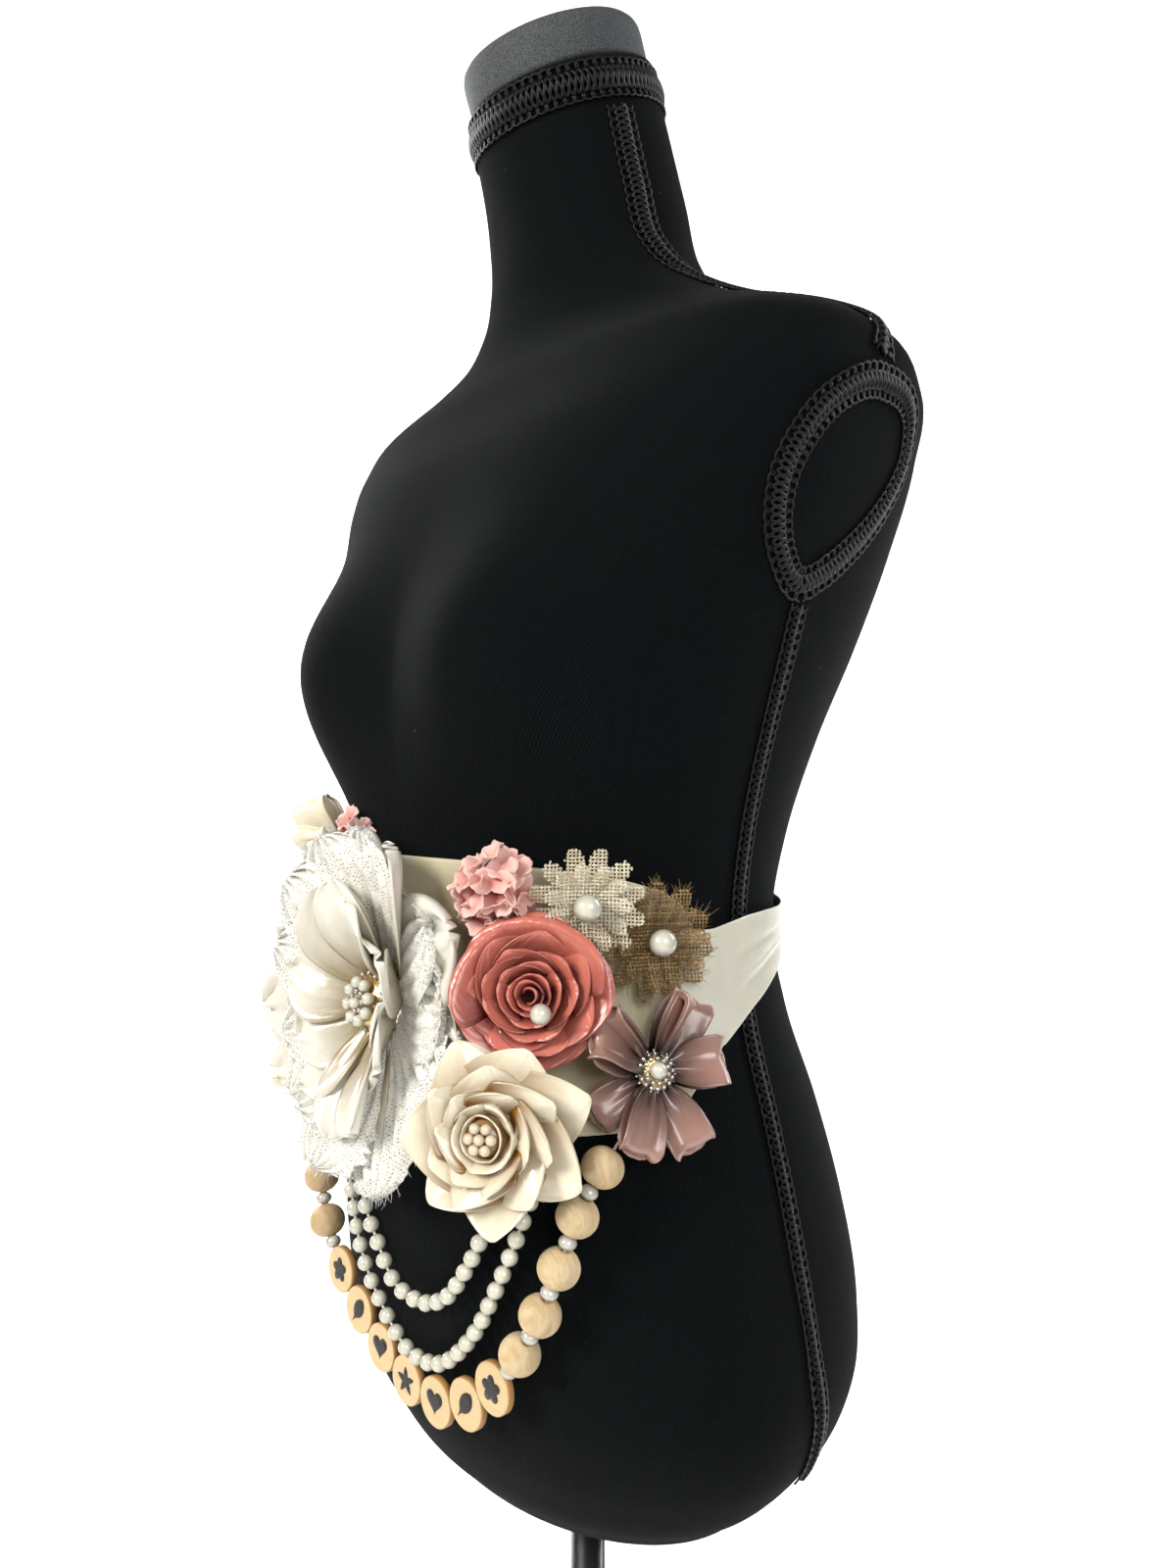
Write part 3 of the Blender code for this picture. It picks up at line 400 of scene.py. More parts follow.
# The ribbon: ivory satin sewn over each end of the band and drawn round to the back. It starts as wide
# as the band's end, and is gathered narrower behind, with soft pleats and one pressed fold.
RIBBON_THICK, SATIN_THICK = 0.0012, 0.0007


def wall(grid, thick, ring=False, tone=0.0):
    """A cloth wall: the grid moved half its thickness to each side, closed along its edges."""
    rows, cols = grid.shape[:2]
    down = np.roll(grid, -1, 0) - np.roll(grid, 1, 0) if ring else np.gradient(grid, axis=0)
    out = unit(np.cross(down, np.gradient(grid, axis=1)))
    half = out * np.broadcast_to(thick, (rows, cols))[..., None] / 2
    i, j = lattice(rows, cols, ring)
    u, v = lengths(grid, ring)
    face, uv = (i % rows) * cols + j, np.stack([u[i], v[j]], -1)
    up = rows * cols
    quads, uvs = [face, face[:, ::-1] + up], [uv, uv[:, ::-1]]
    r = np.arange(rows if ring else rows - 1)
    c = np.arange(cols - 1)
    edges = [(r * cols, (r + 1) % rows * cols, False),
             (r * cols + cols - 1, (r + 1) % rows * cols + cols - 1, True)]
    if not ring:
        edges += [(c, c + 1, True), ((rows - 1) * cols + c, (rows - 1) * cols + c + 1, False)]
    for a, b, flip in edges:
        strip = np.stack([a, a + up, b + up, b], 1)
        quads.append(strip[:, ::-1] if flip else strip)
        uvs.append(np.stack([u[quads[-1] % up // cols], v[quads[-1] % up % cols]], -1))
    points = np.concatenate([(grid + half).reshape(-1, 3), (grid - half).reshape(-1, 3)])
    tone = np.broadcast_to(tone, (rows, cols)).ravel()
    return points, np.concatenate(quads), np.concatenate(uvs), np.concatenate([tone, tone])


def satin(name, face, fold_shade_colour, gloss):
    """Polyester satin: a smooth glossy face with painted shade, its colour deepening into the folds
    ("tone"), faint cloudy shading, soft ripples drawn along it and fine threads that soften the highlight."""
    made, tree = new_material(name, Roughness=gloss, Specular_IOR_Level=0.75, Anisotropic=0.40,
                              Coat_Weight=0.20, Coat_Roughness=0.22)
    uv = add(tree, "TexCoord", {}, "UV")
    fold_shade_attribute = add(tree, "Attribute", {}, "Fac", attribute_name="tone")
    cloud = add(tree, "TexNoise", {"Vector": uv, "Scale": 90.0})
    clouded = add(tree, "MapRange", {"Value": cloud, "To Min": -0.10, "To Max": 0.14})
    fold_shade_amount = add(tree, "Math", {0: fold_shade_attribute, 1: clouded}, operation="ADD", use_clamp=True)
    across, down = (add(tree, "Mapping", {"Vector": uv, "Scale": (*scale, 1.0)})
                    for scale in ((900.0, 160.0), (60.0, 190.0)))
    threads = add(tree, "TexNoise", {"Vector": across, "Scale": 1.0})
    ripple = add(tree, "TexNoise", {"Vector": down, "Scale": 1.0, "Detail": 1.5})
    fine = add(tree, "Bump", {"Height": threads, "Strength": 0.10, "Distance": 0.0004})
    show(tree, Base_Color=add(tree, "Mix", {0: fold_shade_amount, 6: face, 7: fold_shade_colour}, 2, data_type="RGBA"),
         Normal=add(tree, "Bump", {"Height": ripple, "Strength": 0.55, "Distance": 0.0016, "Normal": fine}))
    return made


# degrees from the front; top edge, bottom edge and distance off the form in millimetres
RIBBON_EDGES = np.array([
    (69, 1046, 989, 5.0), (74, 1046, 989, 5.0), (79, 1046, 991, 4.4), (90, 1051, 1007, 4.2),
    (100, 1053, 1017, 4.2), (112, 1054, 1027, 4.0), (135, 1058, 1034, 3.0), (155, 1064, 1041, 3.0),
    (171, 1068, 1046, 3.6)]) * (1, MM, MM, MM)
ribbon_satin = satin("ivory_satin_ribbon", "#d9d6c6", "#a59c80", 0.40)
u = np.linspace(69, 171, 110)[:, None]
share = np.linspace(0, 1, 30)[None]
top, low, off = (np.interp(u, RIBBON_EDGES[:, 0], RIBBON_EDGES[:, k]) for k in (1, 2, 3))
gather = np.clip((u - 76) / 24, 0, 1)
pleats = 0.0005 * gather * np.sin(share * 19 + 0.3 * np.sin(u / 9)) * np.sin(math.pi * share)
pressed = 0.0009 * np.exp(-((share - 0.30 - 0.10 * gather) / 0.05) ** 2) * gather
height = low + (top - low) * share + 0.0006 * np.sin(u / 7) * (1 - gather)
# Painted shade: where gathered, the ribbon's colour deepens between its pleats and is lightest on the
# pressed fold.
shade = np.clip(0.5 - 900 * (pleats + pressed), 0, 1) * gather * 0.5
for side, turn in (("left", 1), ("right", -1)):
    middle = off_body(turn * u, height, off + RIBBON_THICK / 2 + pleats + pressed)
    made = put("ribbon_satin_" + side, [wall(middle[::turn], SATIN_THICK, tone=shade[::turn])],
               ribbon_satin, ["ribbon_" + side])

# The tie at the back: the two ribbons knotted once, with a puckered knot, and two tails that hang down
# over the hips and are cut slantwise.
KNOT_WIDE, KNOT_TALL, KNOT_DEEP = 0.030, 0.030, 0.016
# share of the knot's size, share of its depth
KNOT_OUTLINE = [(0.70, 0.0), (0.86, 0.06), (0.96, 0.20), (1.0, 0.42), (0.97, 0.62), (0.88, 0.80),
                (0.72, 0.92), (0.50, 0.98), (0.28, 1.0), (0.06, 1.0)]


def seat(u, z, out, lean_up=0.0):
    """A place on the form: its origin, out from the surface, and its rows to the right, up and away."""
    along_u, _, away = slopes(u, z)
    origin = body(u, z) + away * out
    away = unit(away + lean_up * np.array([0, 0, 1.0]))
    up = unit(np.cross(away, along_u))
    return origin, np.stack([np.cross(up, away), up, away])


origin, axes = seat(180, 1.058, 0.0012)
a = np.arange(96)[:, None] * 2 * math.pi / 96
share, rise = np.array(KNOT_OUTLINE).T
pucker = 1 + 0.045 * np.sin(9 * a + 4 * share) * share
square = [np.sign(f) * np.abs(f) ** 0.75 for f in (np.cos(a), np.sin(a))]
local = np.stack([square[0] * share * pucker * KNOT_WIDE / 2, square[1] * share * pucker * KNOT_TALL / 2,
                  rise * KNOT_DEEP * (1 + 0.05 * np.sin(7 * a))], -1)
# Painted shade: the knot's colour deepens in the hollows between its puckers.
knot = skin(origin + local @ axes, ring=True, caps=True, tone=0.5 - 0.5 * np.sin(9 * a))
put("ribbon_knot_satin", [knot], ribbon_satin, ["ribbon_knot"])

# name, middle in degrees at the top and at the end, height of the end's inner and outer corners
TAILS = [("left", 174.5, 164.0, 0.818, 0.796), ("right", 185.5, 197.0, 0.838, 0.814)]
TAIL_TOP = 1.0425
for name, top_u, end_u, inner_end, outer_end in TAILS:
    share, lean = np.linspace(1, 0, 70)[None], np.linspace(-1, 1, 24)[:, None]
    u = top_u + (end_u - top_u) * share**1.3 + lean * (4.0 + 5.5 * share**0.6)
    outward = (lean + 1) / 2 if end_u > top_u else (1 - lean) / 2
    z = TAIL_TOP - share * (TAIL_TOP - (inner_end + (outer_end - inner_end) * outward))
    wave = (0.0016 * np.sin(5 * lean + 3 * share) * share + 0.0016 * share
            + 0.0005 * np.sin(14 * lean) * (1 - share))
    middle = off_body(u, z, 0.0036 - 0.0014 * share + wave)
    # Painted shade: the tail's colour deepens where its waves dip towards the form, most near the knot.
    cloth = wall(middle, SATIN_THICK, tone=np.clip(0.4 - 300 * wave, 0, 1))
    tail = put("ribbon_tail_satin_" + name, [cloth], ribbon_satin, ["ribbon_tail_" + name])

# The big flower: eleven rounded satin petals behind, then ruffled lace and gauze petals, then upright
# satin petals round a cluster of pearls and stones. It is the sash's largest ornament.
# Every flower's own sizes, from here on, are in millimetres.
ON_BAND = BAND_OFF + BAND_THICK + 0.0006


def petal(turn, root, height, long, wide, lift, curl=0.0, roll=0.0, cup=0.0, crease=0.0, point=0.0,
          narrow=0.4, ruffle=0.0, waves=3.0, phase=0.0, wrap=0.0, twist=0.0, blunt=0.0, hem=0.34,
          gather=0.0, pinch=2.5, thick=0.8, plump=0.0, rows=26, cols=19):
    """One petal, x to the flower's right, y up and z away from the form. Along it the cloth slopes by
    lift, less curl towards the tip, and less roll in the share of its length that is its hem; across it
    by cup, crease and the small folds gathered at its root. Its outline widens from the root and closes
    round or to a point; wrap bends it about the flower's middle, turn points it."""
    k = np.linspace(0, 0.952, rows)[:, None]
    t = 1 - (1 - k) ** 1.6
    s = np.linspace(-1, 1, cols)[None]
    closing = 0.55 - 0.30 * point + 0.30 * blunt
    q = np.clip((t - closing) / (1 - closing), 0, 1)
    end = (1 - point) * np.sqrt(1 - q**2) + point * (1 - q) ** 0.85
    half = wide / 2 * (narrow + (1 - narrow) * np.sin(math.pi / 2 * np.clip(t / 0.62, 0, 1))) * end + 0.1
    late = np.clip((t - 1 + hem) / hem, 0, 1)
    slope = (lift - curl * t**2 - roll * late**2 * (3 - 2 * late)) * DEG
    step = np.diff(t, axis=0) * long
    mid = (slope[1:] + slope[:-1]) / 2
    x, z = (np.concatenate([[[0]], np.cumsum(f(mid) * step, axis=0)]) for f in (np.cos, np.sin))
    bank = (cup * s * (1.25 - 0.5 * t) + crease * np.tanh(6 * s)) * DEG
    y, n = (np.cumsum((f(bank) + f(np.roll(bank, 1, 1))) / (cols - 1), axis=1) for f in (np.cos, np.sin))
    y, n = (half * (f - f[:, cols // 2:cols // 2 + 1]) for f in (y, n))
    n = n + ruffle * t**1.5 * np.sin(waves * math.pi * s + phase + 2 * t)
    n = n + gather * np.exp(-4.5 * t) * np.abs(np.sin(pinch * math.pi * s + phase)) * (1 - s**2)
    x, z = x - n * np.sin(slope), z + n * np.cos(slope)
    c, w = math.cos(twist * DEG), math.sin(twist * DEG)
    y, z = y * c - z * w, y * w + z * c
    if wrap:
        x, y = (wrap + x) * np.cos(y / wrap) - wrap, (wrap + x) * np.sin(y / wrap)
    x, c, w = x + root, math.cos(turn * DEG), math.sin(turn * DEG)
    grid = np.stack([x * c - y * w, x * w + y * c, z + height], -1)
    # The third value is painted shade: the colour darkens towards the petal's root and a little at its side
    # edges.
    fold_shade_amount = np.clip(1.15 - 1.35 * t, 0, 1) ** 1.2 + 0.15 * np.abs(s) ** 6
    return grid, thick + plump * np.maximum(np.abs(s) ** 5, q**5), fold_shade_amount


def petals_of(columns, table, more=lambda k, p: {}, **same):
    """A petal for each row of a table. The columns name its values, more works out others from the
    row's number and its values, and the rest are the same for all."""
    made = []
    for k, row in enumerate(table):
        values = dict(zip(columns.split(), row))
        made.append(petal(**values, **more(k, values), **same))
    return made


def sew(place, petals, scale=(1, 1, 1), ring=False):
    """The walls of petals, put in their flower's place on the form."""
    origin, axes = place
    return [wall(origin + (grid * scale) * MM @ axes, thick * MM, ring, tone)
            for grid, thick, tone in petals]


big, big_scale = seat(-4, 1.009, ON_BAND, lean_up=-0.03), (0.95, 1.05, 1.0)
white_satin = satin("white_satin", "#e6e3d8", "#93825c", 0.24)
petals = petals_of("turn long wide lift curl twist", [
    (30, 62, 58, 16, 24, 8), (62, 68, 50, 26, 14, -6), (92, 68, 52, 26, 18, 5), (126, 64, 56, 26, 22, -5),
    (158, 70, 50, 28, 20, 6), (186, 74, 46, 28, 22, -8), (212, 72, 44, 26, 20, 6),
    (238, 64, 46, 20, 30, -5), (268, 60, 52, 14, 26, 5), (308, 54, 50, 6, 14, -6), (350, 54, 54, 6, 18, 7)],
    lambda k, p: {"height": 0.4 + 0.4 * (k % 2), "phase": k * 1.7},
    root=14, cup=16, ruffle=3.4, waves=2.6, gather=2, thick=0.9)
pad = lathe([(15.5, 0), (16, 0.4), (16, 2.2), (14, 2.8)], 48, big)
put("big_flower_back_petals", sew(big, petals, big_scale) + [pad], white_satin, ["big_flower_satin_back"])

# Lace petals over them: net with thick silver and white threads, crimped into pleats and cut raggedly.
# A real mesh is 0.8 mm wide. It is drawn 1.5 mm wide, because a finer one doesn't show at this size.
NET_PITCH, MOTIF_APART, RAGGED_FROM, FRINGE_COUNT = 0.0015, 0.0090, 14, 80
lace, tree = new_material("white_net_lace", Roughness=0.50, Sheen_Weight=0.3, Subsurface_Weight=0.1,
                          Subsurface_Radius=(0.003, 0.003, 0.003))
uv = add(tree, "TexCoord", {}, "UV")
wander = add(tree, "TexNoise", {"Vector": uv, "Scale": 150.0}, "Color")
bent = add(tree, "Mix", {0: 0.0035, 4: uv, 5: wander}, 1, data_type="VECTOR")
strings = []
for turn in (0.6, -0.6):
    turned = add(tree, "Mapping", {"Vector": bent, "Rotation": (0, 0, turn)})
    strings.append(add(tree, "TexWave", {"Vector": turned, "Scale": WAVE_LONG / NET_PITCH}, "Fac"))
blossom = add(tree, "TexVoronoi", {"Vector": bent, "Scale": 1 / MOTIF_APART}, "Distance")
sprig = add(tree, "MapRange", {"Value": blossom, "From Min": 0.34, "From Max": 0.42, "To Min": 1.0,
                               "To Max": 0.0})
vein = add(tree, "TexVoronoi", {"Vector": bent, "Scale": 2.4 / MOTIF_APART}, "Distance",
           feature="DISTANCE_TO_EDGE")
vined = add(tree, "MapRange", {"Value": vein, "From Min": 0.04, "From Max": 0.10, "To Min": 1.0,
                               "To Max": 0.0})
net = add(tree, "Math", {0: strings[0], 1: strings[1]}, operation="MAXIMUM")
thick_part = add(tree, "Math", {0: sprig, 1: vined}, operation="MAXIMUM")
cover = add(tree, "Math", {0: thick_part, 1: net}, operation="MAXIMUM")
glint = add(tree, "MapRange", {"Value": add(tree, "TexNoise", {"Vector": uv, "Scale": 700.0}),
                               "From Min": 0.56, "From Max": 0.62})
silver = add(tree, "Math", {0: glint, 1: vined}, operation="MULTIPLY")
show(tree, Base_Color=add(tree, "Mix", {0: silver, 6: "#ecebe4", 7: "#f4f4f6"}, 2, data_type="RGBA"),
     Alpha=add(tree, "MapRange", {"Value": cover, "From Min": 0.30, "From Max": 0.75, "To Min": 0.34}),
     Metallic=add(tree, "Math", {0: silver, 1: 0.4}, operation="MULTIPLY"),
     Normal=add(tree, "Bump", {"Height": thick_part, "Strength": 0.5, "Distance": 0.0003}))


def strands(starts, ways, long, bend, radius, seed, stations=5, sides=3):
    """Many loose thread ends at once: each leaves its start along its way and strays as it goes."""
    rng = np.random.default_rng(seed)
    t = np.linspace(0, 1, stations)[None, :, None]
    stray = rng.normal(0, 1, (2, len(starts), 1, 3)) * bend
    path = (starts[:, None] + ways[:, None] * long[:, None, None] * t + stray[0] * t**2 + stray[1] * t**3)
    a = (np.arange(sides) * 2 * math.pi / sides)[None, :, None, None]
    square = unit(np.cross(ways, [0.3, 0.2, 1.0]))
    ring = np.cos(a) * square[:, None, None] + np.sin(a) * np.cross(ways, square)[:, None, None]
    points = path[:, None] + ring * radius * (1 - 0.6 * t[:, None])
    i, j = lattice(sides, stations, ring=True)
    quads = (i % sides) * stations + j
    quads = (quads[None] + np.arange(len(starts))[:, None, None] * sides * stations).reshape(-1, 4)
    return (points.reshape(-1, 3), quads, np.zeros((len(quads), 4, 2)),
            np.repeat(rng.random(len(starts)), sides * stations))


petals = petals_of("turn height long wide lift curl ruffle waves", [
    (104, 3.0, 70, 70, 30, 10, 2.4, 5.6), (76, 3.6, 72, 50, 26, 8, 2.2, 4.8),
    (134, 4.0, 68, 56, 30, 10, 2.4, 6.4), (162, 3.4, 62, 44, 30, 10, 2.0, 5.6),
    (200, 3.8, 52, 42, 30, 10, 2.0, 5.2), (230, 3.2, 58, 48, 24, 6, 2.4, 6.2),
    (258, 4.0, 68, 60, 18, 2, 2.6, 6.8), (290, 3.4, 74, 60, 10, 2, 2.6, 6.4),
    (326, 4.0, 62, 52, 8, 12, 2.6, 6.0), (2, 3.2, 50, 48, 14, 24, 2.4, 6.2),
    (36, 4.2, 52, 48, 18, 22, 2.4, 5.8)],
    lambda k, p: {"phase": k * 1.3},
    root=13, narrow=0.28, blunt=0.45, gather=1.2, thick=0.3, rows=34, cols=49)
rng = np.random.default_rng(5)
starts, ways = [], []
for grid, thick, tone in petals:
    for edge, inner in ((0, 3), (-1, -4)):
        out = unit(grid[RAGGED_FROM:, edge] - grid[RAGGED_FROM:, inner])
        grid[RAGGED_FROM:, edge] += out * rng.uniform(-1.2, 4.0, (len(out), 1))
    grid[-1] += (grid[-1] - grid[-3]) * rng.uniform(-0.4, 0.6, (49, 1))
    rim = np.concatenate([grid[18:, 0], grid[-1], grid[18:, -1]])
    rim = rim[rng.integers(0, len(rim), FRINGE_COUNT)]
    out = rim - grid[10, 24]
    starts.append(rim - out * 0.03)
    ways.append(unit(out))
starts, ways = np.concatenate(starts) * big_scale * MM, np.concatenate(ways)
fringe = strands(big[0] + starts @ big[1], ways @ big[1], rng.uniform(0.002, 0.006, len(starts)), 0.0007,
                 0.00016, seed=6)
put("big_flower_lace_petals", sew(big, petals, big_scale), lace, ["big_flower_lace"])
silver_thread, tree = new_material("silver_white_thread", Roughness=0.35)
shade = add(tree, "Attribute", {}, "Fac", attribute_name="tone")
show(tree, Base_Color=add(tree, "Mix", {0: shade, 6: "#efede6", 7: "#d2d4d8"}, 2, data_type="RGBA"),
     Metallic=shade)
put("big_flower_fringe", [fringe], silver_thread)

# The upright satin petals in the middle. The upper left one is the widest and glossiest.
petals = petals_of("turn root long wide lift curl cup twist", [
    (118, 12.5, 52, 50, 44, 40, 20, 10), (146, 13, 50, 44, 36, 30, 16, -14),
    (172, 13.5, 44, 42, 42, 26, 16, 10), (204, 14, 40, 40, 38, 22, 14, -8),
    (234, 13.5, 46, 42, 30, 14, 18, 8), (266, 13, 52, 40, 26, 8, 24, -8),
    (298, 14, 52, 42, 34, 18, 24, 8), (330, 19, 36, 42, 50, 36, 22, 8), (4, 20.5, 31, 44, 60, 40, 20, -8),
    (36, 20, 35, 44, 60, 40, 20, 10), (66, 16.5, 44, 44, 56, 38, 22, -8), (92, 13, 52, 46, 48, 36, 22, 6)],
    lambda k, p: {"height": 5 + 0.5 * (k % 3), "phase": k * 2.1},
    ruffle=2, waves=2.0, narrow=0.38, gather=1.2)
put("big_flower_inner_satin", sew(big, petals, big_scale), white_satin, ["big_flower_inner_petals"])

# The cluster in its middle: a gilt setting with eight silvery pearls in a ring, and small stones between
# them and round the edge.
SETTING = 6.8


def ball(place, radius, middle=(0, 0, 0), around=20, levels=11, squash=1.0):
    """A round bead, closed at both poles; its poles lie along the third axis of its place."""
    tilt = np.linspace(-82, 82, levels) * DEG
    return lathe(np.stack([radius * np.cos(tilt), radius * squash * np.sin(tilt)], 1), around, place, middle)


def ring_of(count, radius, height, phase=0.0):
    """Points round a circle, in a flower's own frame."""
    a = (np.arange(count) + phase) * 2 * math.pi / count
    return [(radius * math.cos(t), radius * math.sin(t), height) for t in a]


def stones(place, ring, height, count, size, phase=0.0):
    """Small cut stones in a ring: each is a six-sided turned point."""
    cut = size * np.array([(0.55, -0.6), (1.0, -0.1), (0.62, 0.5), (0.3, 0.62)])
    return [lathe(cut, 6, place, middle) for middle in ring_of(count, ring, height, phase)]


def lacquered(name, face, edge, width, **sockets):
    """A lacquered bead: it has a soft bright highlight, and painted shade, a deeper tone where its
    surface turns away from view.
    """
    made, tree = new_material(name, **sockets)
    turned_away_shade = add(tree, "LayerWeight", {"Blend": width}, "Facing")
    show(tree, Base_Color=add(tree, "Mix", {0: turned_away_shade, 6: face, 7: edge}, 2, data_type="RGBA"))
    return made


pearl = lacquered("lacquered_pearl", "#dddccb", "#565240", 0.35, Roughness=0.20, Coat_Weight=1.0,
                  Coat_Roughness=0.05, Specular_IOR_Level=0.6)
gilt = two_tone("gilt_setting", 800.0, "#b48f4e", "#e8cf95", Metallic=1.0, Roughness=0.28)
glass = two_tone("cut_glass_stone", 1200.0, "#8f9096", "#fbf7ee", Metallic=0.75, Roughness=0.10)
setting = lathe([(9, 0), (13.5, 1), (14, 3), (12, 6.5), (7, 8.5), (1, 9)], 40, big, (0, 0, SETTING))
pearls = [ball(big, 3.1, middle) for middle in ring_of(8, 9.2, SETTING + 11, 0.3)]
pearls.append(ball(big, 2.7, (1.2, -0.6, SETTING + 13.5)))
put("big_flower_setting", [setting], gilt, ["big_flower_cluster"])
put("big_flower_pearls", pearls, pearl)
cut_stones = (stones(big, 4.8, SETTING + 11.8, 7, 1.6) + stones(big, 13.2, SETTING + 6.2, 14, 1.7, 0.5)
              + stones(big, 7.8, SETTING + 9.5, 8, 1.3))
put("big_flower_stones", cut_stones, glass)

# The burlap daisies: open jute weave cut into daisies, two layers each, with a pearl in the middle. The
# cream one laps over the tan one, whose edge is frayed.
WEAVE_PITCH, YARN_WIDE, YARN_RISE, FRAY_COUNT = 1.65, 0.82, 0.34, 420


def woven(radius, petals, notch, turn, height, lift, seed):
    """Yarns both ways over and under each other, kept only inside the daisy's outline, whose petals
    lift a little towards their tips, each by its own amount."""
    rng = np.random.default_rng(seed)
    n = int(radius / WEAVE_PITCH) + 1
    lane = np.arange(-n, n + 1)[:, None] * WEAVE_PITCH
    step = np.arange(-2 * n, 2 * n + 1)[None] * WEAVE_PITCH / 2
    raise_by = rng.uniform(0.5, 1.4, petals)
    parts = []
    for way in (0, 1):
        across, far = lane + rng.normal(0, 0.09, (2 * n + 1, 4 * n + 1)), step + 0 * lane
        x, y = (across, far) if way else (far, across)
        r = np.hypot(x, y)
        petal_at = ((np.arctan2(y, x) / (2 * math.pi) - turn / 360) * petals) % petals
        lobe = np.sin(math.pi * (petal_at % 1)) ** 0.55
        inside = r < radius * (1 - notch * (1 - lobe))
        over = (1 if way else -1) * YARN_RISE * np.cos(math.pi * (far / WEAVE_PITCH + lane / WEAVE_PITCH))
        rise = height + over + lift * raise_by[petal_at.astype(int)] * (r / radius) ** 2 * lobe
        corner = [(-YARN_WIDE / 2, 0), (0, -YARN_WIDE * 0.26), (YARN_WIDE / 2, 0), (0, YARN_WIDE * 0.26)]
        yarn = np.stack([np.stack([x + (a if way else 0), y + (0 if way else a), rise + b], -1)
                         for a, b in (corner if way else corner[::-1])], 1)
        rows, cols = x.shape
        lanes, cells = np.nonzero(inside[:, 1:] & inside[:, :-1])
        first, other = ((lanes[:, None] * 4 + (np.arange(4)[None] + k) % 4) * cols + cells[:, None]
                        for k in (0, 1))
        quads = np.stack([first, other, other + 1, first + 1], -1).reshape(-1, 4)
        used, quads = np.unique(quads, return_inverse=True)
        quads = quads.reshape(-1, 4)
        shade = np.broadcast_to(rng.random((rows, 1, 1)), (rows, 4, cols)).reshape(-1)
        parts.append((yarn.reshape(-1, 3)[used], quads, np.zeros((len(quads), 4, 2)), shade[used]))
    return parts


def daisy(place, layers, seed):
    """The woven layers of a daisy, put in its place on the form."""
    return [(place[0] + points * MM @ place[1], *rest) for k, layer in enumerate(layers)
            for points, *rest in woven(*layer, seed + k)]


def jute(name, pale, dark):
    """Coarse jute yarn: dull, uneven in colour from yarn to yarn, and hairy."""
    made, tree = new_material(name, Roughness=0.9, Specular_IOR_Level=0.2)
    shade = add(tree, "Attribute", {}, "Fac", attribute_name="tone")
    mottle = add(tree, "TexNoise", {"Scale": 500.0, "Detail": 4.0})
    uneven = add(tree, "Math", {0: shade, 1: mottle}, operation="MULTIPLY")
    drawn_out = add(tree, "MapRange", {"Value": uneven, "From Max": 0.6})
    show(tree, Base_Color=add(tree, "Mix", {0: drawn_out, 6: pale, 7: dark}, 2, data_type="RGBA"),
         Normal=add(tree, "Bump", {"Height": mottle, "Strength": 0.5, "Distance": 0.0003}))
    return made


tan_jute, cream_jute = jute("tan_burlap", "#b79b70", "#5a4222"), jute("cream_burlap", "#f6f0de", "#c4b48e")
tan, cream = seat(63, 1.041, ON_BAND), seat(47.5, 1.061, ON_BAND)
# outer radius, petals, notch, turn, height, lift of the tips
TAN_LAYERS = [(27.8, 11, 0.40, 8, 5.0, 3.5), (22.2, 10, 0.40, 24, 6.6, 8.0)]
CREAM_LAYERS = [(26.8, 12, 0.40, 0, 10.8, 3.0), (20.5, 11, 0.42, 17, 12.4, 7.5)]
put("burlap_daisy_tan_weave", daisy(tan, TAN_LAYERS, 11), tan_jute, ["burlap_daisy_tan"])
a = np.random.default_rng(21).uniform(0, 2 * math.pi, FRAY_COUNT)
reach = 0.0268 * (1 - 0.40 * (1 - np.abs(np.sin(5.5 * (a - 8 * DEG))) ** 0.55))
starts = np.stack([reach * np.cos(a), reach * np.sin(a), np.full(FRAY_COUNT, 0.0066)], 1)
ways = np.stack([np.cos(a + 0.5), np.sin(a + 0.5), np.full(FRAY_COUNT, 0.25)], 1)
frayed = strands(tan[0] + starts @ tan[1], ways @ tan[1], np.full(FRAY_COUNT, 0.0028), 0.0012, 0.00016, 22)
put("burlap_daisy_tan_fray", [frayed], tan_jute)
put("burlap_daisy_cream_weave", daisy(cream, CREAM_LAYERS, 31), cream_jute, ["burlap_daisy_cream"])
burlap_pads = [lathe([(6, 0), (6.2, 0.4), (6.2, height), (5.2, height + 0.6)], 32, place)
               for place, height in ((tan, 4.6), (cream, 10.2))]
put("burlap_daisy_pads", burlap_pads, felt)
for name, place, height in (("tan", tan, 12.3), ("cream", cream, 18.1)):
    put("daisy_pearl_" + name, [ball(place, 6.4, (0, 0, height), 28, 15)], pearl,
        ["burlap_daisy_" + name + "_pearl"])

# The pink hydrangea: a ball of small chiffon florets, each with four or five crinkled petals. There is a
# smaller one on the far side of the big flower.
GOLDEN_TURN = 2.39996
chiffon, tree = new_material("pink_chiffon", Roughness=0.7, Sheen_Weight=0.4, Specular_IOR_Level=0.3,
                             Subsurface_Weight=0.15, Subsurface_Radius=(0.004, 0.002, 0.0015))
# The deep pink is painted shade, laid on by "tone" at the florets' middles and between lobes, varied by a
# wash.
shade = add(tree, "Attribute", {}, "Fac", attribute_name="tone")
wash = add(tree, "TexNoise", {"Scale": 220.0, "Detail": 3.0})
washed = add(tree, "MapRange", {"Value": wash, "To Min": -0.25, "To Max": 0.25})
shade_and_wash = add(tree, "Math", {0: shade, 1: washed}, operation="ADD", use_clamp=True)
show(tree, Base_Color=add(tree, "Mix", {0: shade_and_wash, 6: "#eec4bb", 7: "#bd6b60"}, 2, data_type="RGBA"))


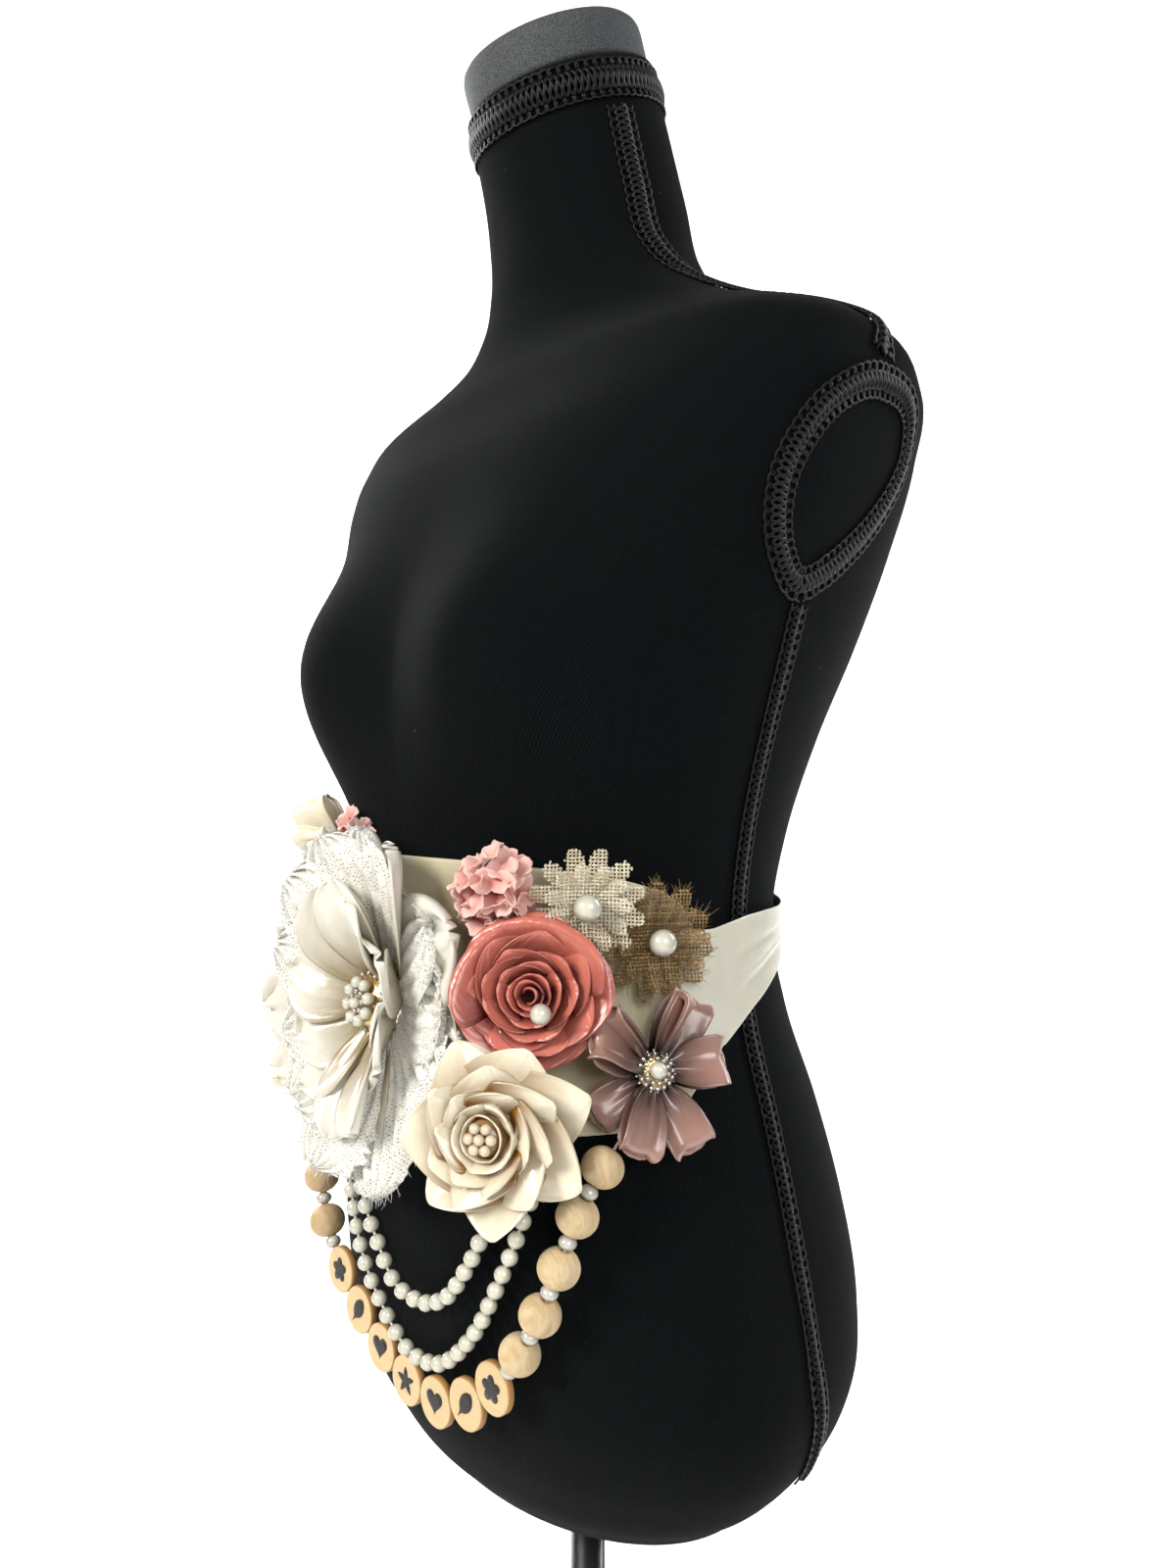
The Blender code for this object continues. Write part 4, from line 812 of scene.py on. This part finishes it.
def floret(centre, away, radius, lobes, seed):
    """A small crinkled flower, facing away from the ball's middle: scalloped rim, cupped and rippled."""
    rng = np.random.default_rng(seed)
    a = (np.arange(60) * 2 * math.pi / 60)[:, None]
    r = np.linspace(0.10, 1, 8)[None]
    lobe = np.abs(np.sin(lobes * a / 2 + rng.uniform(0, 3))) ** 0.38
    ragged = 1 + 0.03 * np.sin(13 * a + rng.uniform(0, 6)) + 0.03 * np.sin(21 * a + rng.uniform(0, 6))
    reach = radius * r * (1 - 0.50 * (1 - lobe) * r**1.2) * ragged**r
    height = radius * (0.30 * r**1.8 + 0.10 * r**2 * np.sin(lobes * a + rng.uniform(0, 6))
                       + 0.07 * r**2 * np.sin(9 * a + rng.uniform(0, 6)) - 0.22 * (1 - lobe) * r)
    away = unit(away)
    right = unit(np.cross([0.2, 1.0, 0.1], away))
    grid = centre + (np.stack([reach * np.cos(a), reach * np.sin(a), height], -1)
                     @ np.stack([right, np.cross(away, right), away]))
    # Painted shade: the colour deepens towards the floret's middle and between its lobes.
    return grid, 0.3, np.clip(np.clip(1.15 - 1.25 * r, 0, 1) + 0.35 * (1 - lobe), 0, 1)


def hydrangea(place, radius, low, tall, count, size, seed):
    """Florets all over a dome, in a spiral from its crown to its rim."""
    rng = np.random.default_rng(seed)
    florets = []
    for k in range(count):
        tilt, a = math.acos(1 - 0.95 * (k + 0.5) / count), k * GOLDEN_TURN + 0.6
        away = np.array([math.sin(tilt) * math.cos(a), math.sin(tilt) * math.sin(a), math.cos(tilt)])
        florets.append(floret(away * [radius, radius, tall] + [0, 0, low], away + rng.normal(0, 0.2, 3),
                              size * rng.uniform(0.85, 1.15), 4 + k % 2, seed + k))
    core = [(radius * 0.5, 0.0), (radius * 0.55, low), (radius * 0.9, low + tall * 0.2),
            (radius * 0.8, low + tall * 0.6), (radius * 0.3, low + tall * 0.85)]
    # The core under the florets is nearly all deep pink, painted shade.
    return sew(place, florets, ring=True) + [lathe(core, 24, place, tone=0.9)]


put("hydrangea_pink_florets", hydrangea(seat(29.2, 1.0675, ON_BAND), 14.2, 8.0, 10.5, 13, 10.8, 41), chiffon,
    ["hydrangea_pink"])
put("hydrangea_far_florets", hydrangea(seat(-16.5, 1.094, 0.0008), 7.5, 3.2, 7.0, 8, 6.8, 61), chiffon,
    ["hydrangea_pink_far"])

# The coral rose: one satin ribbon folded and wrapped round itself. A furled cone stands in the middle
# beside a pearl, rows of folded petals wrap round it, and wide rolled petals close it outside.
coral_satin = satin("coral_satin", "#cd7465", "#4c0b06", 0.26)
coral = seat(37, 1.017, ON_BAND)
petals = petals_of("turn root height long wide lift curl roll hem point twist", [
    (136, 15, 15.8, 24, 52, 36, 14, 110, 0.28, 0.05, 13),
    (76, 15, 16.4, 24.5, 54, 38, 12, 120, 0.30, 0.15, -11),
    (6, 15, 15.2, 22.5, 40, 24, 12, 70, 0.20, 0.60, -10),
    (-52, 15, 14.8, 17.5, 42, 10, 6, 40, 0.12, 0.55, 13), (-108, 15, 15, 18, 46, 8, 6, 40, 0.12, 0.35, 5),
    (178, 15, 15.2, 20.5, 42, 20, 8, 30, 0.10, 0.10, -10),
    (88, 14, 18, 18.5, 40, 44, 8, 50, 0.10, 0.95, 13),
    (36, 14, 17.6, 19, 38, 38, 10, 50, 0.10, 0.80, -11),
    (-20, 14, 17.4, 17, 37, 32, 12, 40, 0.10, 0.75, 13),
    (-70, 13.5, 17.2, 14.5, 38, 28, 10, 40, 0.10, 0.80, -11),
    (-124, 13.5, 17.2, 15, 38, 28, 10, 40, 0.10, 0.85, 13),
    (-174, 14, 17.6, 17.5, 37, 34, 10, 40, 0.10, 0.80, -11),
    (136, 14, 18, 18.5, 38, 42, 8, 40, 0.10, 0.85, 13),
    (108, 11.2, 19.6, 16, 34, 54, 8, 60, 0.12, 0.95, -11),
    (58, 10.8, 19.4, 15, 31, 50, 8, 60, 0.12, 0.80, 13),
    (0, 10.6, 19.2, 14, 31, 46, 8, 60, 0.12, 0.85, -11),
    (-52, 10.4, 19, 12.4, 30, 42, 8, 60, 0.12, 0.70, 13),
    (-106, 10.4, 19, 12, 30, 42, 8, 60, 0.12, 0.80, -11),
    (-160, 10.6, 19.2, 13.6, 31, 48, 8, 60, 0.12, 0.80, 13),
    (154, 11, 19.6, 15, 32, 52, 8, 60, 0.12, 0.85, -11),
    (82, 8.2, 20.6, 13.2, 27, 62, 6, 70, 0.14, 0.75, 13),
    (16, 7.8, 20.4, 11.8, 25, 60, 6, 70, 0.14, 0.65, -11),
    (-50, 7.4, 20.2, 10.4, 24, 56, 6, 70, 0.14, 0.60, 13),
    (-116, 7.4, 20.2, 10.4, 24, 56, 6, 70, 0.14, 0.60, -11),
    (176, 7.8, 20.6, 12, 26, 62, 6, 70, 0.14, 0.65, 13),
    (128, 8.2, 20.6, 12.8, 26, 64, 6, 70, 0.14, 0.75, -11),
    (50, 5.4, 21.2, 11.6, 19, 72, 6, 80, 0.16, 0.50, 0), (-60, 5, 21, 9.6, 18, 68, 6, 80, 0.16, 0.45, 0),
    (170, 5.2, 21.2, 11, 19, 72, 6, 80, 0.16, 0.50, 0),
    (104, 3.6, 21.8, 12.6, 16, 80, 6, 50, 0.16, 0.60, 0),
    (-80, 3.2, 21.6, 9.6, 14, 76, 6, 50, 0.16, 0.45, 0),
    (24, 2.2, 22.2, 13.2, 13, 86, 6, 40, 0.18, 0.70, 0)],
    lambda k, p: {"wrap": p["root"] + 0.45 * p["long"] * math.cos(p["lift"] * DEG)},
    narrow=0.80, thick=0.6, plump=0.3, rows=22, cols=25)
# The core is all in the satin's deepest colour, painted shade in the middle of the rose.
core = lathe([(9, 0), (9.2, 0.4), (9.2, 14), (18, 15), (19, 16.5), (15, 18.5), (10, 20), (4, 22.2),
              (0.6, 22.5)], 48, coral, tone=1.0)
put("rose_coral_outer_petals", sew(coral, petals[:6]) + [core], coral_satin, ["rose_coral_petals"])
put("rose_coral_folds", sew(coral, petals[6:]), coral_satin, ["rose_coral_heart"])
put("rose_coral_centre_pearl", [ball(coral, 4.6, (5.5, -7.5, 33.6), 28, 15)], pearl, ["rose_coral_pearl"])

# The mauve flower: eight loops of satin ribbon gathered in the middle, where each is pinched into folds,
# under a disc of small stones with a pearl.
mauve_satin = satin("mauve_satin", "#aa8478", "#2c1a19", 0.24)


def looped(turn, long, wide, lift, height, twist):
    """A loop of ribbon: it goes out, turns over at the end, and its middle is pinched at the root."""
    face = petal(turn, 4.5, height, long, wide, lift, curl=26, roll=150, hem=0.24, cup=34, narrow=0.26,
                 blunt=0.80, gather=5.6, pinch=1.5, ruffle=0.9, waves=1.4, phase=turn, twist=twist,
                 thick=0.9, rows=28, cols=25)
    back = petal(turn, 4.5, height - 2.2, long * 0.93, wide * 0.92, lift - 10, curl=6, cup=-8, narrow=0.34,
                 blunt=0.7, twist=twist, rows=14, cols=13)
    return [face, back]


def mauve_flower(name, place, table, foot, disc, disc_height, rings, pearl_height, pearl_grid):
    """The loops and the foot they are sewn to, the gilt disc, its rings of stones, and the pearl."""
    # The foot is all in the satin's deepest colour, painted shade under the loops.
    base = lathe([(7, 0), (7.2, 0.4), (7.2, foot), (5, foot + 3.5), (1, foot + 4)], 36, place, tone=1.0)
    loops = sew(place, [p for row in table for p in looped(*row)])
    plate = [(disc, 0), (disc + 0.6, 0.8), (disc + 0.2, 1.6), (4, 2.4), (1, 2.5)]
    put(name + "_loops", loops + [base], mauve_satin, [name + "_petals"])
    put(name + "_setting", [lathe(plate, 32, place, (0, 0, disc_height))], gilt, [name + "_gem"])
    put(name + "_stones", [s for ring in rings for s in stones(place, *ring)], glass)
    put(name + "_pearl", [ball(place, 4, (0, 0, pearl_height), *pearl_grid)], pearl)


# direction, length, width, lift, height, twist
MAUVE_LOOPS = [(213, 31, 19, 2, 9.8, 0), (60, 36.5, 23, 22, 10.4, 10), (90, 37.5, 16, 44, 11.2, 56),
               (106, 37, 16, 44, 11, -52), (2, 31.5, 23, 26, 11.2, -10), (-64, 37, 21, 22, 11, 14),
               (-113, 37, 21, 24, 11.2, -12), (165, 34.5, 24, 36, 11.2, 30)]
mauve_flower("flower_mauve", seat(59, 0.982, ON_BAND), MAUVE_LOOPS, 9.0, 7.8, 14.0,
             [(7.6, 16, 16, 1.3), (5.4, 17, 11, 1.3, 0.5), (9, 15, 18, 0.8, 0.5)], 19.0, (28, 15))

# The ivory rose: wide satin ribbon folded into points that wrap in a spiral, seven outside and smaller
# ones within, round a coiled middle with seven pearls.
rose_satin = satin("cream_satin", "#efe7cf", "#8a5f22", 0.22)
ivory = seat(29.5, 0.959, ON_BAND)
petals = petals_of("turn root height long wide lift curl twist", [
    (25, 12, 20.8, 35, 42, 6, 6, 24), (68, 12, 21.4, 29, 48, 15, 8, 9), (118, 12, 20.8, 31, 42, 8, 8, 24),
    (184, 12, 21.4, 29, 46, 13, 8, 12), (229, 12, 20.8, 28.5, 43, 6, 6, 24),
    (277, 12, 21.4, 31, 42, 11, 6, 12), (336, 12, 20.8, 33, 45, 6, 6, 24),
    (40, 11, 23.6, 25, 34, 26, 8, 30), (92, 11, 24.2, 20, 38, 24, 8, 10),
    (158, 11, 23.6, 21.5, 35, 30, 8, 30), (212, 11, 24.2, 18, 38, 20, 8, 12),
    (262, 11, 23.6, 22, 34, 28, 8, 28), (312, 11, 24.2, 24, 38, 18, 8, 12),
    (2, 11, 23.8, 22, 34, 30, 8, 30), (74, 9.5, 26, 16, 28, 44, 6, 30),
    (136, 9.5, 26.4, 14, 31, 38, 6, 12), (190, 9.5, 26, 14.5, 28, 42, 6, 28),
    (246, 9.5, 26.4, 14.5, 30, 34, 6, 14), (296, 9.5, 26, 17, 28, 40, 6, 30),
    (352, 9.5, 26.2, 15, 31, 38, 6, 14), (106, 8, 27.6, 11, 24, 60, 6, 12),
    (190, 8, 27.2, 8.5, 24, 56, 6, 12), (266, 8, 27.6, 9.5, 24, 52, 6, 12),
    (330, 8, 27.2, 10, 24, 54, 6, 12), (32, 8, 27.6, 10.5, 24, 58, 6, 12)],
    lambda k, p: {"wrap": p["root"] + 1.6 * p["long"]},
    roll=40, hem=0.08, crease=-13, cup=-6, point=0.93, narrow=0.96, plump=0.9, rows=24, cols=25)
coils = petals_of("turn root height long wide lift", [
    (70, 9.4, 28.4, 8.6, 32, 62), (190, 9.2, 28.6, 7, 30, 58), (310, 9.4, 28.2, 8.2, 32, 60),
    (20, 7.2, 30, 6.6, 28, 78), (205, 7.2, 29.6, 5.8, 27, 76)],
    lambda k, p: {"wrap": p["root"] + 2},
    curl=10, roll=60, hem=0.2, narrow=0.8, point=0.45, thick=0.6, plump=0.4, rows=20, cols=27)
# The core is in the satin's golden brown, painted shade in the middle of the rose.
core = [lathe([(9, 0), (9.2, 0.4), (9.2, 20)], 40, ivory, (0, 12, 0), tone=1.0),
        lathe([(10, 19.5), (15, 20.5), (15.5, 22.5), (12, 26), (8, 30), (7, 33.5), (1, 33.8)], 48, ivory,
              tone=0.9)]
put("rose_ivory_outer_petals", sew(ivory, petals[:7]) + core, rose_satin, ["rose_ivory_petals"])
put("rose_ivory_folds", sew(ivory, petals[7:] + coils), rose_satin, ["rose_ivory_heart"])
cluster = [ball(ivory, 2.5, middle) for middle in ring_of(6, 4.9, 36.2) + [(0, 0, 37.2)]]
champagne = lacquered("champagne_pearl", "#e6d6bc", "#7c5f3c", 0.4, Roughness=0.18, Coat_Weight=1.0,
                      Coat_Roughness=0.05)
put("rose_ivory_pearls", cluster, champagne, ["rose_ivory_cluster"])

# The flowers on the far side of the band, of which the photograph shows the tips: loops of ivory ribbon,
# golden brown inside from painted shade, and a second mauve flower like the first.
far_loops = seat(-37, 1.074, ON_BAND)
# direction, length, width, lift, height, twist: the upper ones turn their faces to the form's left
RIBBON_LOOPS = [(22, 36, 19, 30, 5.2, 12), (60, 42, 21, 42, 6.2, 56), (98, 44, 22, 46, 5.6, 62),
                (132, 44, 21, 40, 6.4, 56), (175, 36, 19, 26, 5.2, 12), (215, 34, 19, 20, 6.2, 12),
                (262, 34, 19, 16, 5.2, 12), (310, 34, 19, 18, 6.2, 12)]
# The core is all in the satin's golden brown, painted shade under the loops.
core = lathe([(6, 0), (6.2, 0.4), (6.2, 5), (1, 6.5)], 32, far_loops, (0, -3, 0), tone=1.0)
put("ribbon_loops_satin", sew(far_loops, [p for row in RIBBON_LOOPS for p in looped(*row)]) + [core],
    rose_satin, ["ribbon_loops_ivory"])
put("ribbon_loops_centre_pearl", [ball(far_loops, 6.4, (0, 0, 14.2), 28, 15)], pearl, ["ribbon_loops_pearl"])
mauve_flower("flower_mauve_far", seat(-60, 1.000, ON_BAND),
             [(k * 360 / 7 + 20, 28.5, 21, 12, 9.4 + 0.8 * (k % 2), 6) for k in range(7)],
             8.5, 7.4, 13.8, [(6.8, 15.8, 14, 1.3)], 18.6, (20, 11))

# The strands: two of pearls and one of wood beads, on white waxed thread that is sewn to the band at
# both ends. Each hangs in a swag, and its thread shows between the beads.
THREAD_RADIUS, PEARL_PITCH, SEWN_LEAD = 0.0009, 0.0092, 0.0110


def sewn(u, z):
    """Where a thread is sewn down, just off the band's outer face, in millimetres."""
    return off_body(u, z, BAND_OFF + BAND_THICK + THREAD_RADIUS + 0.0005) / MM


# The points each strand passes through, from the form's right to its left, in millimetres
INNER_STRAND = [sewn(-16, 0.961), (-34, -127.5, 929), (-30, -127.2, 908), (-20, -126.3, 890),
                (-7, -125.3, 873.5), (13.6, -124.6, 870), (31.5, -124.5, 877), (44.5, -124.3, 891.5),
                (55.5, -123.7, 909), (63, -121.5, 930), sewn(31.5, 0.961)]
OUTER_STRAND = [sewn(-24, 0.961), (-51.2, -123.6, 926.5), (-46.6, -123.2, 903), (-41.5, -122.2, 882.5),
                (-32.2, -120.7, 864), (-12, -118.2, 841.5), (7.7, -118, 837.8), (26.5, -118.4, 844.7),
                (46.9, -119.1, 864.7), (60, -119.4, 885.5), (70, -117.8, 906), (78.6, -114.3, 930),
                sewn(40.5, 0.961)]
WOOD_STRAND = [sewn(-46, 0.966), (-98.5, -106.5, 946), (-97.5, -110.5, 922), (-94, -112, 898),
               (-85, -113, 876), (-67, -114, 855.5), (-47.5, -114.5, 840), (-26, -115, 828),
               (-3, -115.5, 821), (19, -116, 821), (40, -116, 829), (58, -116.5, 843), (74, -117, 862),
               (86, -116, 882), (95, -113, 904.5), (101, -108, 926.5), (108, -101, 946.2),
               (109, -88, 960), sewn(55, 0.969)]


def follow(stops):
    """The strand's path, its length, and a function that gives the place of a bead at a distance along
    it: its centre, and its rows to the side, to the back and along the thread."""
    path = curve_through(np.array(stops) * MM, 400)
    way = along(path)

    def at(s):
        here, ahead, behind = (np.array([np.interp(p, way, column) for column in path.T])
                               for p in (s, s + 0.002, s - 0.002))
        forward = unit(ahead - behind)
        front = unit(np.array([0, -1.0, 0]) + forward * forward[1])
        return here, np.stack([np.cross(-front, forward), -front, forward])

    return path, way[-1], at


def add_thread(name, path):
    """The thread along a strand, from where it is sewn at one end to the other."""
    thread = put("thread_" + name, [tube(path, THREAD_RADIUS * 0.7, (0, -1, 0), 8)], waxed)


waxed = twined("waxed_thread_white", 500.0, "#cfcabb", "#f4f1e8", Roughness=0.6)
for name, stops in (("inner", INNER_STRAND), ("outer", OUTER_STRAND)):
    path, room, at = follow(stops)
    count = int((room - 2 * SEWN_LEAD) / PEARL_PITCH)
    lead = (room - count * PEARL_PITCH) / 2
    beads = [ball(at(lead + (k + 0.5) * PEARL_PITCH), 4, around=22, levels=13) for k in range(count)]
    strung = put("pearls_" + name, beads, pearl, ["pearl_strand_" + name])
    add_thread(name, path)

# Turned beads of pale maple: unvarnished, with rings round them that follow the grain, and a drilled
# hole at each end. Silvery pearls sit between them.
WOOD_RADIUS, WOOD_LONG, SPACER_LONG, JOIN, RUN_LONG = 0.0095, 0.0170, 0.0066, 0.0003, 0.1082
DISC_RADIUS, DISC_HALF_THICK, DISC_PITCH = 12, 2, 0.0242
MOTIFS = ["flower", "leaf", "heart", "star", "heart", "leaf", "flower"]
maple, tree = new_material("maple_beads", Roughness=0.62, Specular_IOR_Level=0.3)
place = add(tree, "TexCoord", {}, "Object")
leant = add(tree, "Mapping", {"Vector": place, "Scale": (90, 260, 90), "Rotation": (0.3, 0.2, 0.5)})
grain = add(tree, "TexNoise", {"Vector": leant, "Scale": 1.0, "Detail": 4.0, "Distortion": 1.2})
rings = add(tree, "MapRange", {"Value": grain, "From Min": 0.35, "From Max": 0.65})
shade = add(tree, "Attribute", {}, "Fac", attribute_name="tone")
pale = add(tree, "Mix", {0: rings, 6: "#dcc8a4", 7: "#c8ae82"}, 2, data_type="RGBA")
show(tree, Base_Color=add(tree, "Mix", {0: shade, 6: pale, 7: "#9c7447"}, 2, data_type="RGBA"))
silvery = lacquered("silvery_pearl", "#dcdad3", "#6a6862", 0.4, Roughness=0.15, Coat_Weight=0.6,
                    Coat_Roughness=0.06, Metallic=0.15)
path, room, at = follow(WOOD_STRAND)
step = WOOD_LONG + SPACER_LONG
right_start, lead = RUN_LONG + len(MOTIFS) * DISC_PITCH + 2 * JOIN, RUN_LONG - 4 * step
wood_at = [lead + k * step + WOOD_LONG / 2 for k in range(4)]
wood_at += [right_start + k * step + SPACER_LONG + WOOD_LONG / 2 for k in range(5)]
pearl_at = [lead + k * step + WOOD_LONG + SPACER_LONG / 2 for k in range(4)]
pearl_at += [right_start + k * step + SPACER_LONG / 2 for k in range(5)]
tilt = np.linspace(-76, 76, 19) * DEG
bead_outline = np.stack([WOOD_RADIUS / MM * np.cos(tilt) ** 0.94,
                         WOOD_LONG / MM / 2 * np.sin(tilt) / math.sin(76 * DEG)], 1)
bead_outline = np.concatenate([[(1.2, -6.8)], bead_outline, [(1.2, 6.8)]])
beads = [lathe(bead_outline, 32, at(s), tone=0.35 if k < 4 else 0.06 * (k % 3))
         for k, s in enumerate(wood_at)]
wood_right = put("wood_beads_right", beads[:4], maple, ["wood_strand_right_side"])
wood_left = put("wood_beads_left", beads[4:], maple, ["wood_strand_left_side"])
spacers = put("spacer_pearls", [ball(at(s), 4.2, (0, 0, 0), 24, 13, 0.80) for s in pearl_at], silvery)

# Seven birch discs in the strand's lowest part, sawn by laser, with scorched edges. Each carries a small
# painted motif on its face: flowers, leaves, hearts and a star, in black.
# radius and height; the two widest rings are scorched
DISC_RIM = [(1.2, -1.2), (1.4, -DISC_HALF_THICK), (DISC_RADIUS - 0.6, -DISC_HALF_THICK),
            (DISC_RADIUS, 0.5 - DISC_HALF_THICK), (DISC_RADIUS, DISC_HALF_THICK - 0.5),
            (DISC_RADIUS - 0.6, DISC_HALF_THICK), (DISC_RADIUS - 1.2, DISC_HALF_THICK),
            (1.4, DISC_HALF_THICK)]
SCORCH = np.array([0, 0, 0, 1.0, 1.0, 0, 0, 0])
birch, tree = new_material("birch_disc", Roughness=0.55, Specular_IOR_Level=0.35)
place = add(tree, "TexCoord", {}, "Object")
leant = add(tree, "Mapping", {"Vector": place, "Scale": (60, 60, 420), "Rotation": (0, 0.5, 0)})
grain = add(tree, "TexNoise", {"Vector": leant, "Scale": 1.0, "Detail": 3.0})
shade = add(tree, "Attribute", {}, "Fac", attribute_name="tone")
face_tint = add(tree, "Mix", {0: grain, 6: "#dfc89e", 7: "#cdae7e"}, 2, data_type="RGBA")
show(tree, Base_Color=add(tree, "Mix", {0: shade, 6: face_tint, 7: "#b08552"}, 2, data_type="RGBA"))
black_ink = two_tone("black_paint", 600.0, "#141110", "#2a2421", Roughness=0.5)


def motif(kind, a):
    """The outline of a painted motif, as points about its middle for angles a from its top."""
    if kind in ("flower", "star"):
        share = np.abs((a * 5 / (2 * math.pi)) % 1 - 0.5) * 2
        reach = (6.4 * (0.62 + 0.38 * np.abs(np.cos(2.5 * a))) if kind == "flower"
                 else 2.8 + 4.2 * share**1.4)
        return reach[..., None] * np.stack([np.sin(a), np.cos(a)], -1)
    if kind == "leaf":
        stalk = 3.4 * np.exp(-((a - math.pi) / 0.2) ** 2)
        x = 4.0 * np.sin(a) * np.abs(np.sin(a)) ** 0.3
        y = 6.2 * np.cos(a) - stalk + 1.3
        return np.stack([0.8 * x + 0.6 * y, 0.8 * y - 0.6 * x], -1)
    heart = 13 * np.cos(a) - 5 * np.cos(2 * a) - 2 * np.cos(3 * a) - np.cos(4 * a)
    return 0.38 * np.stack([16 * np.sin(a) ** 3, heart + 2.5], -1)


discs, motifs = [], []
a = (np.arange(80) * 2 * math.pi / 80)[::-1, None] * np.ones((1, 4))
rise = DISC_HALF_THICK + np.array([-0.1, 0.25, 0.25, 0.25])
for k, kind in enumerate(MOTIFS):
    here, axes = at(RUN_LONG + JOIN + (k + 0.5) * DISC_PITCH)
    out = -axes[1]
    discs.append(lathe(DISC_RIM, 64, (here, np.stack([axes[2], np.cross(out, axes[2]), out])), tone=SCORCH))
    upright = unit(np.array([0, 0, 1.0]) - out * out[2])
    shape = motif(kind, a) * np.array([1.0, 1.0, 0.6, 0.1])[:, None]
    local = np.concatenate([shape, np.broadcast_to(rise[:, None], (80, 4, 1))], -1)
    motifs.append(skin(here + local * MM @ np.stack([np.cross(upright, out), upright, out]), ring=True,
                       caps=True))
disc_pieces = put("birch_discs", discs, birch, ["wood_discs"])
motif_pieces = put("painted_motifs", motifs, black_ink)
add_thread("wood", path)

# The camera stands level at the form's front left, its view shifted up a little, as in the photograph.
# The light is a large soft window, high in front of the form and left of the camera, with a weaker one on
# the right, over plain pale paper that curves up behind.
CAMERA_AWAY, CAMERA_TURN, CAMERA_HEIGHT, FOCAL_SHARE, SHIFT_SHARE = 0.615, 45 * DEG, 1.09, 0.70, 0.0325
scene = bpy.context.scene
camera = bpy.data.objects.new("camera", bpy.data.cameras.new("camera"))
camera.data.sensor_width = 36.0
camera.data.lens = FOCAL_SHARE * 36
camera.data.shift_y = SHIFT_SHARE
camera.data.clip_start, camera.data.clip_end = 0.02, 50
camera.location = (CAMERA_AWAY * math.sin(CAMERA_TURN), -CAMERA_AWAY * math.cos(CAMERA_TURN), CAMERA_HEIGHT)
camera.rotation_euler = (90 * DEG, 0, CAMERA_TURN)
scene.collection.objects.link(camera)
scene.camera = camera


def add_light(name, place, aim, size, watts, colour):
    """A square soft light at a place, turned to shine at another."""
    lamp = bpy.data.lights.new(name, "AREA")
    lamp.size, lamp.energy, lamp.color = size, watts, linear(colour)[:3]
    made = bpy.data.objects.new(name, lamp)
    made.location = place
    away = np.array(place, float) - np.array(aim, float)
    made.rotation_euler = (math.atan2(math.hypot(*away[:2]), away[2]), 0, math.atan2(away[0], -away[1]))
    scene.collection.objects.link(made)


SASH = (0, -0.08, 1.02)
add_light("window", (-0.15, -2.00, 2.00), SASH, 0.80, 48, "#fffaf2")
add_light("fill", (1.75, -0.75, 1.75), SASH, 1.00, 20, "#ffffff")
add_light("backdrop_left", (-3.4, -0.4, 2.8), (-3.0, 2.6, 1.6), 2.4, 230, "#ffffff")
add_light("backdrop_right", (1.4, 2.6, 2.8), (-1.4, 3.8, 1.4), 2.0, 170, "#ffffff")

paper = two_tone("backdrop_paper", 40.0, "#fbfbfa", "#fefefe", Roughness=0.95, Specular_IOR_Level=0.1)
FLOOR_END, BEND_RADIUS = 2.2, 1.2
bend = np.linspace(0, 90, 24) * DEG
away = np.concatenate([np.linspace(-3, FLOOR_END, 8)[:-1], FLOOR_END + BEND_RADIUS * np.sin(bend),
                       [3.4, 3.4]])
height = np.concatenate([np.zeros(7), BEND_RADIUS * (1 - np.cos(bend)), [4.0, 8.0]])
side = np.linspace(-9, 9, 9)[:, None] * np.ones(len(away))
sheet = np.stack([(side - away) / math.sqrt(2), (side + away) / math.sqrt(2),
                  np.broadcast_to(height, side.shape)], -1)
backdrop = put("backdrop", [skin(sheet)], paper)

world = bpy.data.worlds.new("studio")
world.use_nodes = True
background = world.node_tree.nodes["Background"].inputs
background["Color"].default_value, background["Strength"].default_value = linear("#ffffff"), 0.10
scene.world = world
scene.view_settings.view_transform = "Standard"
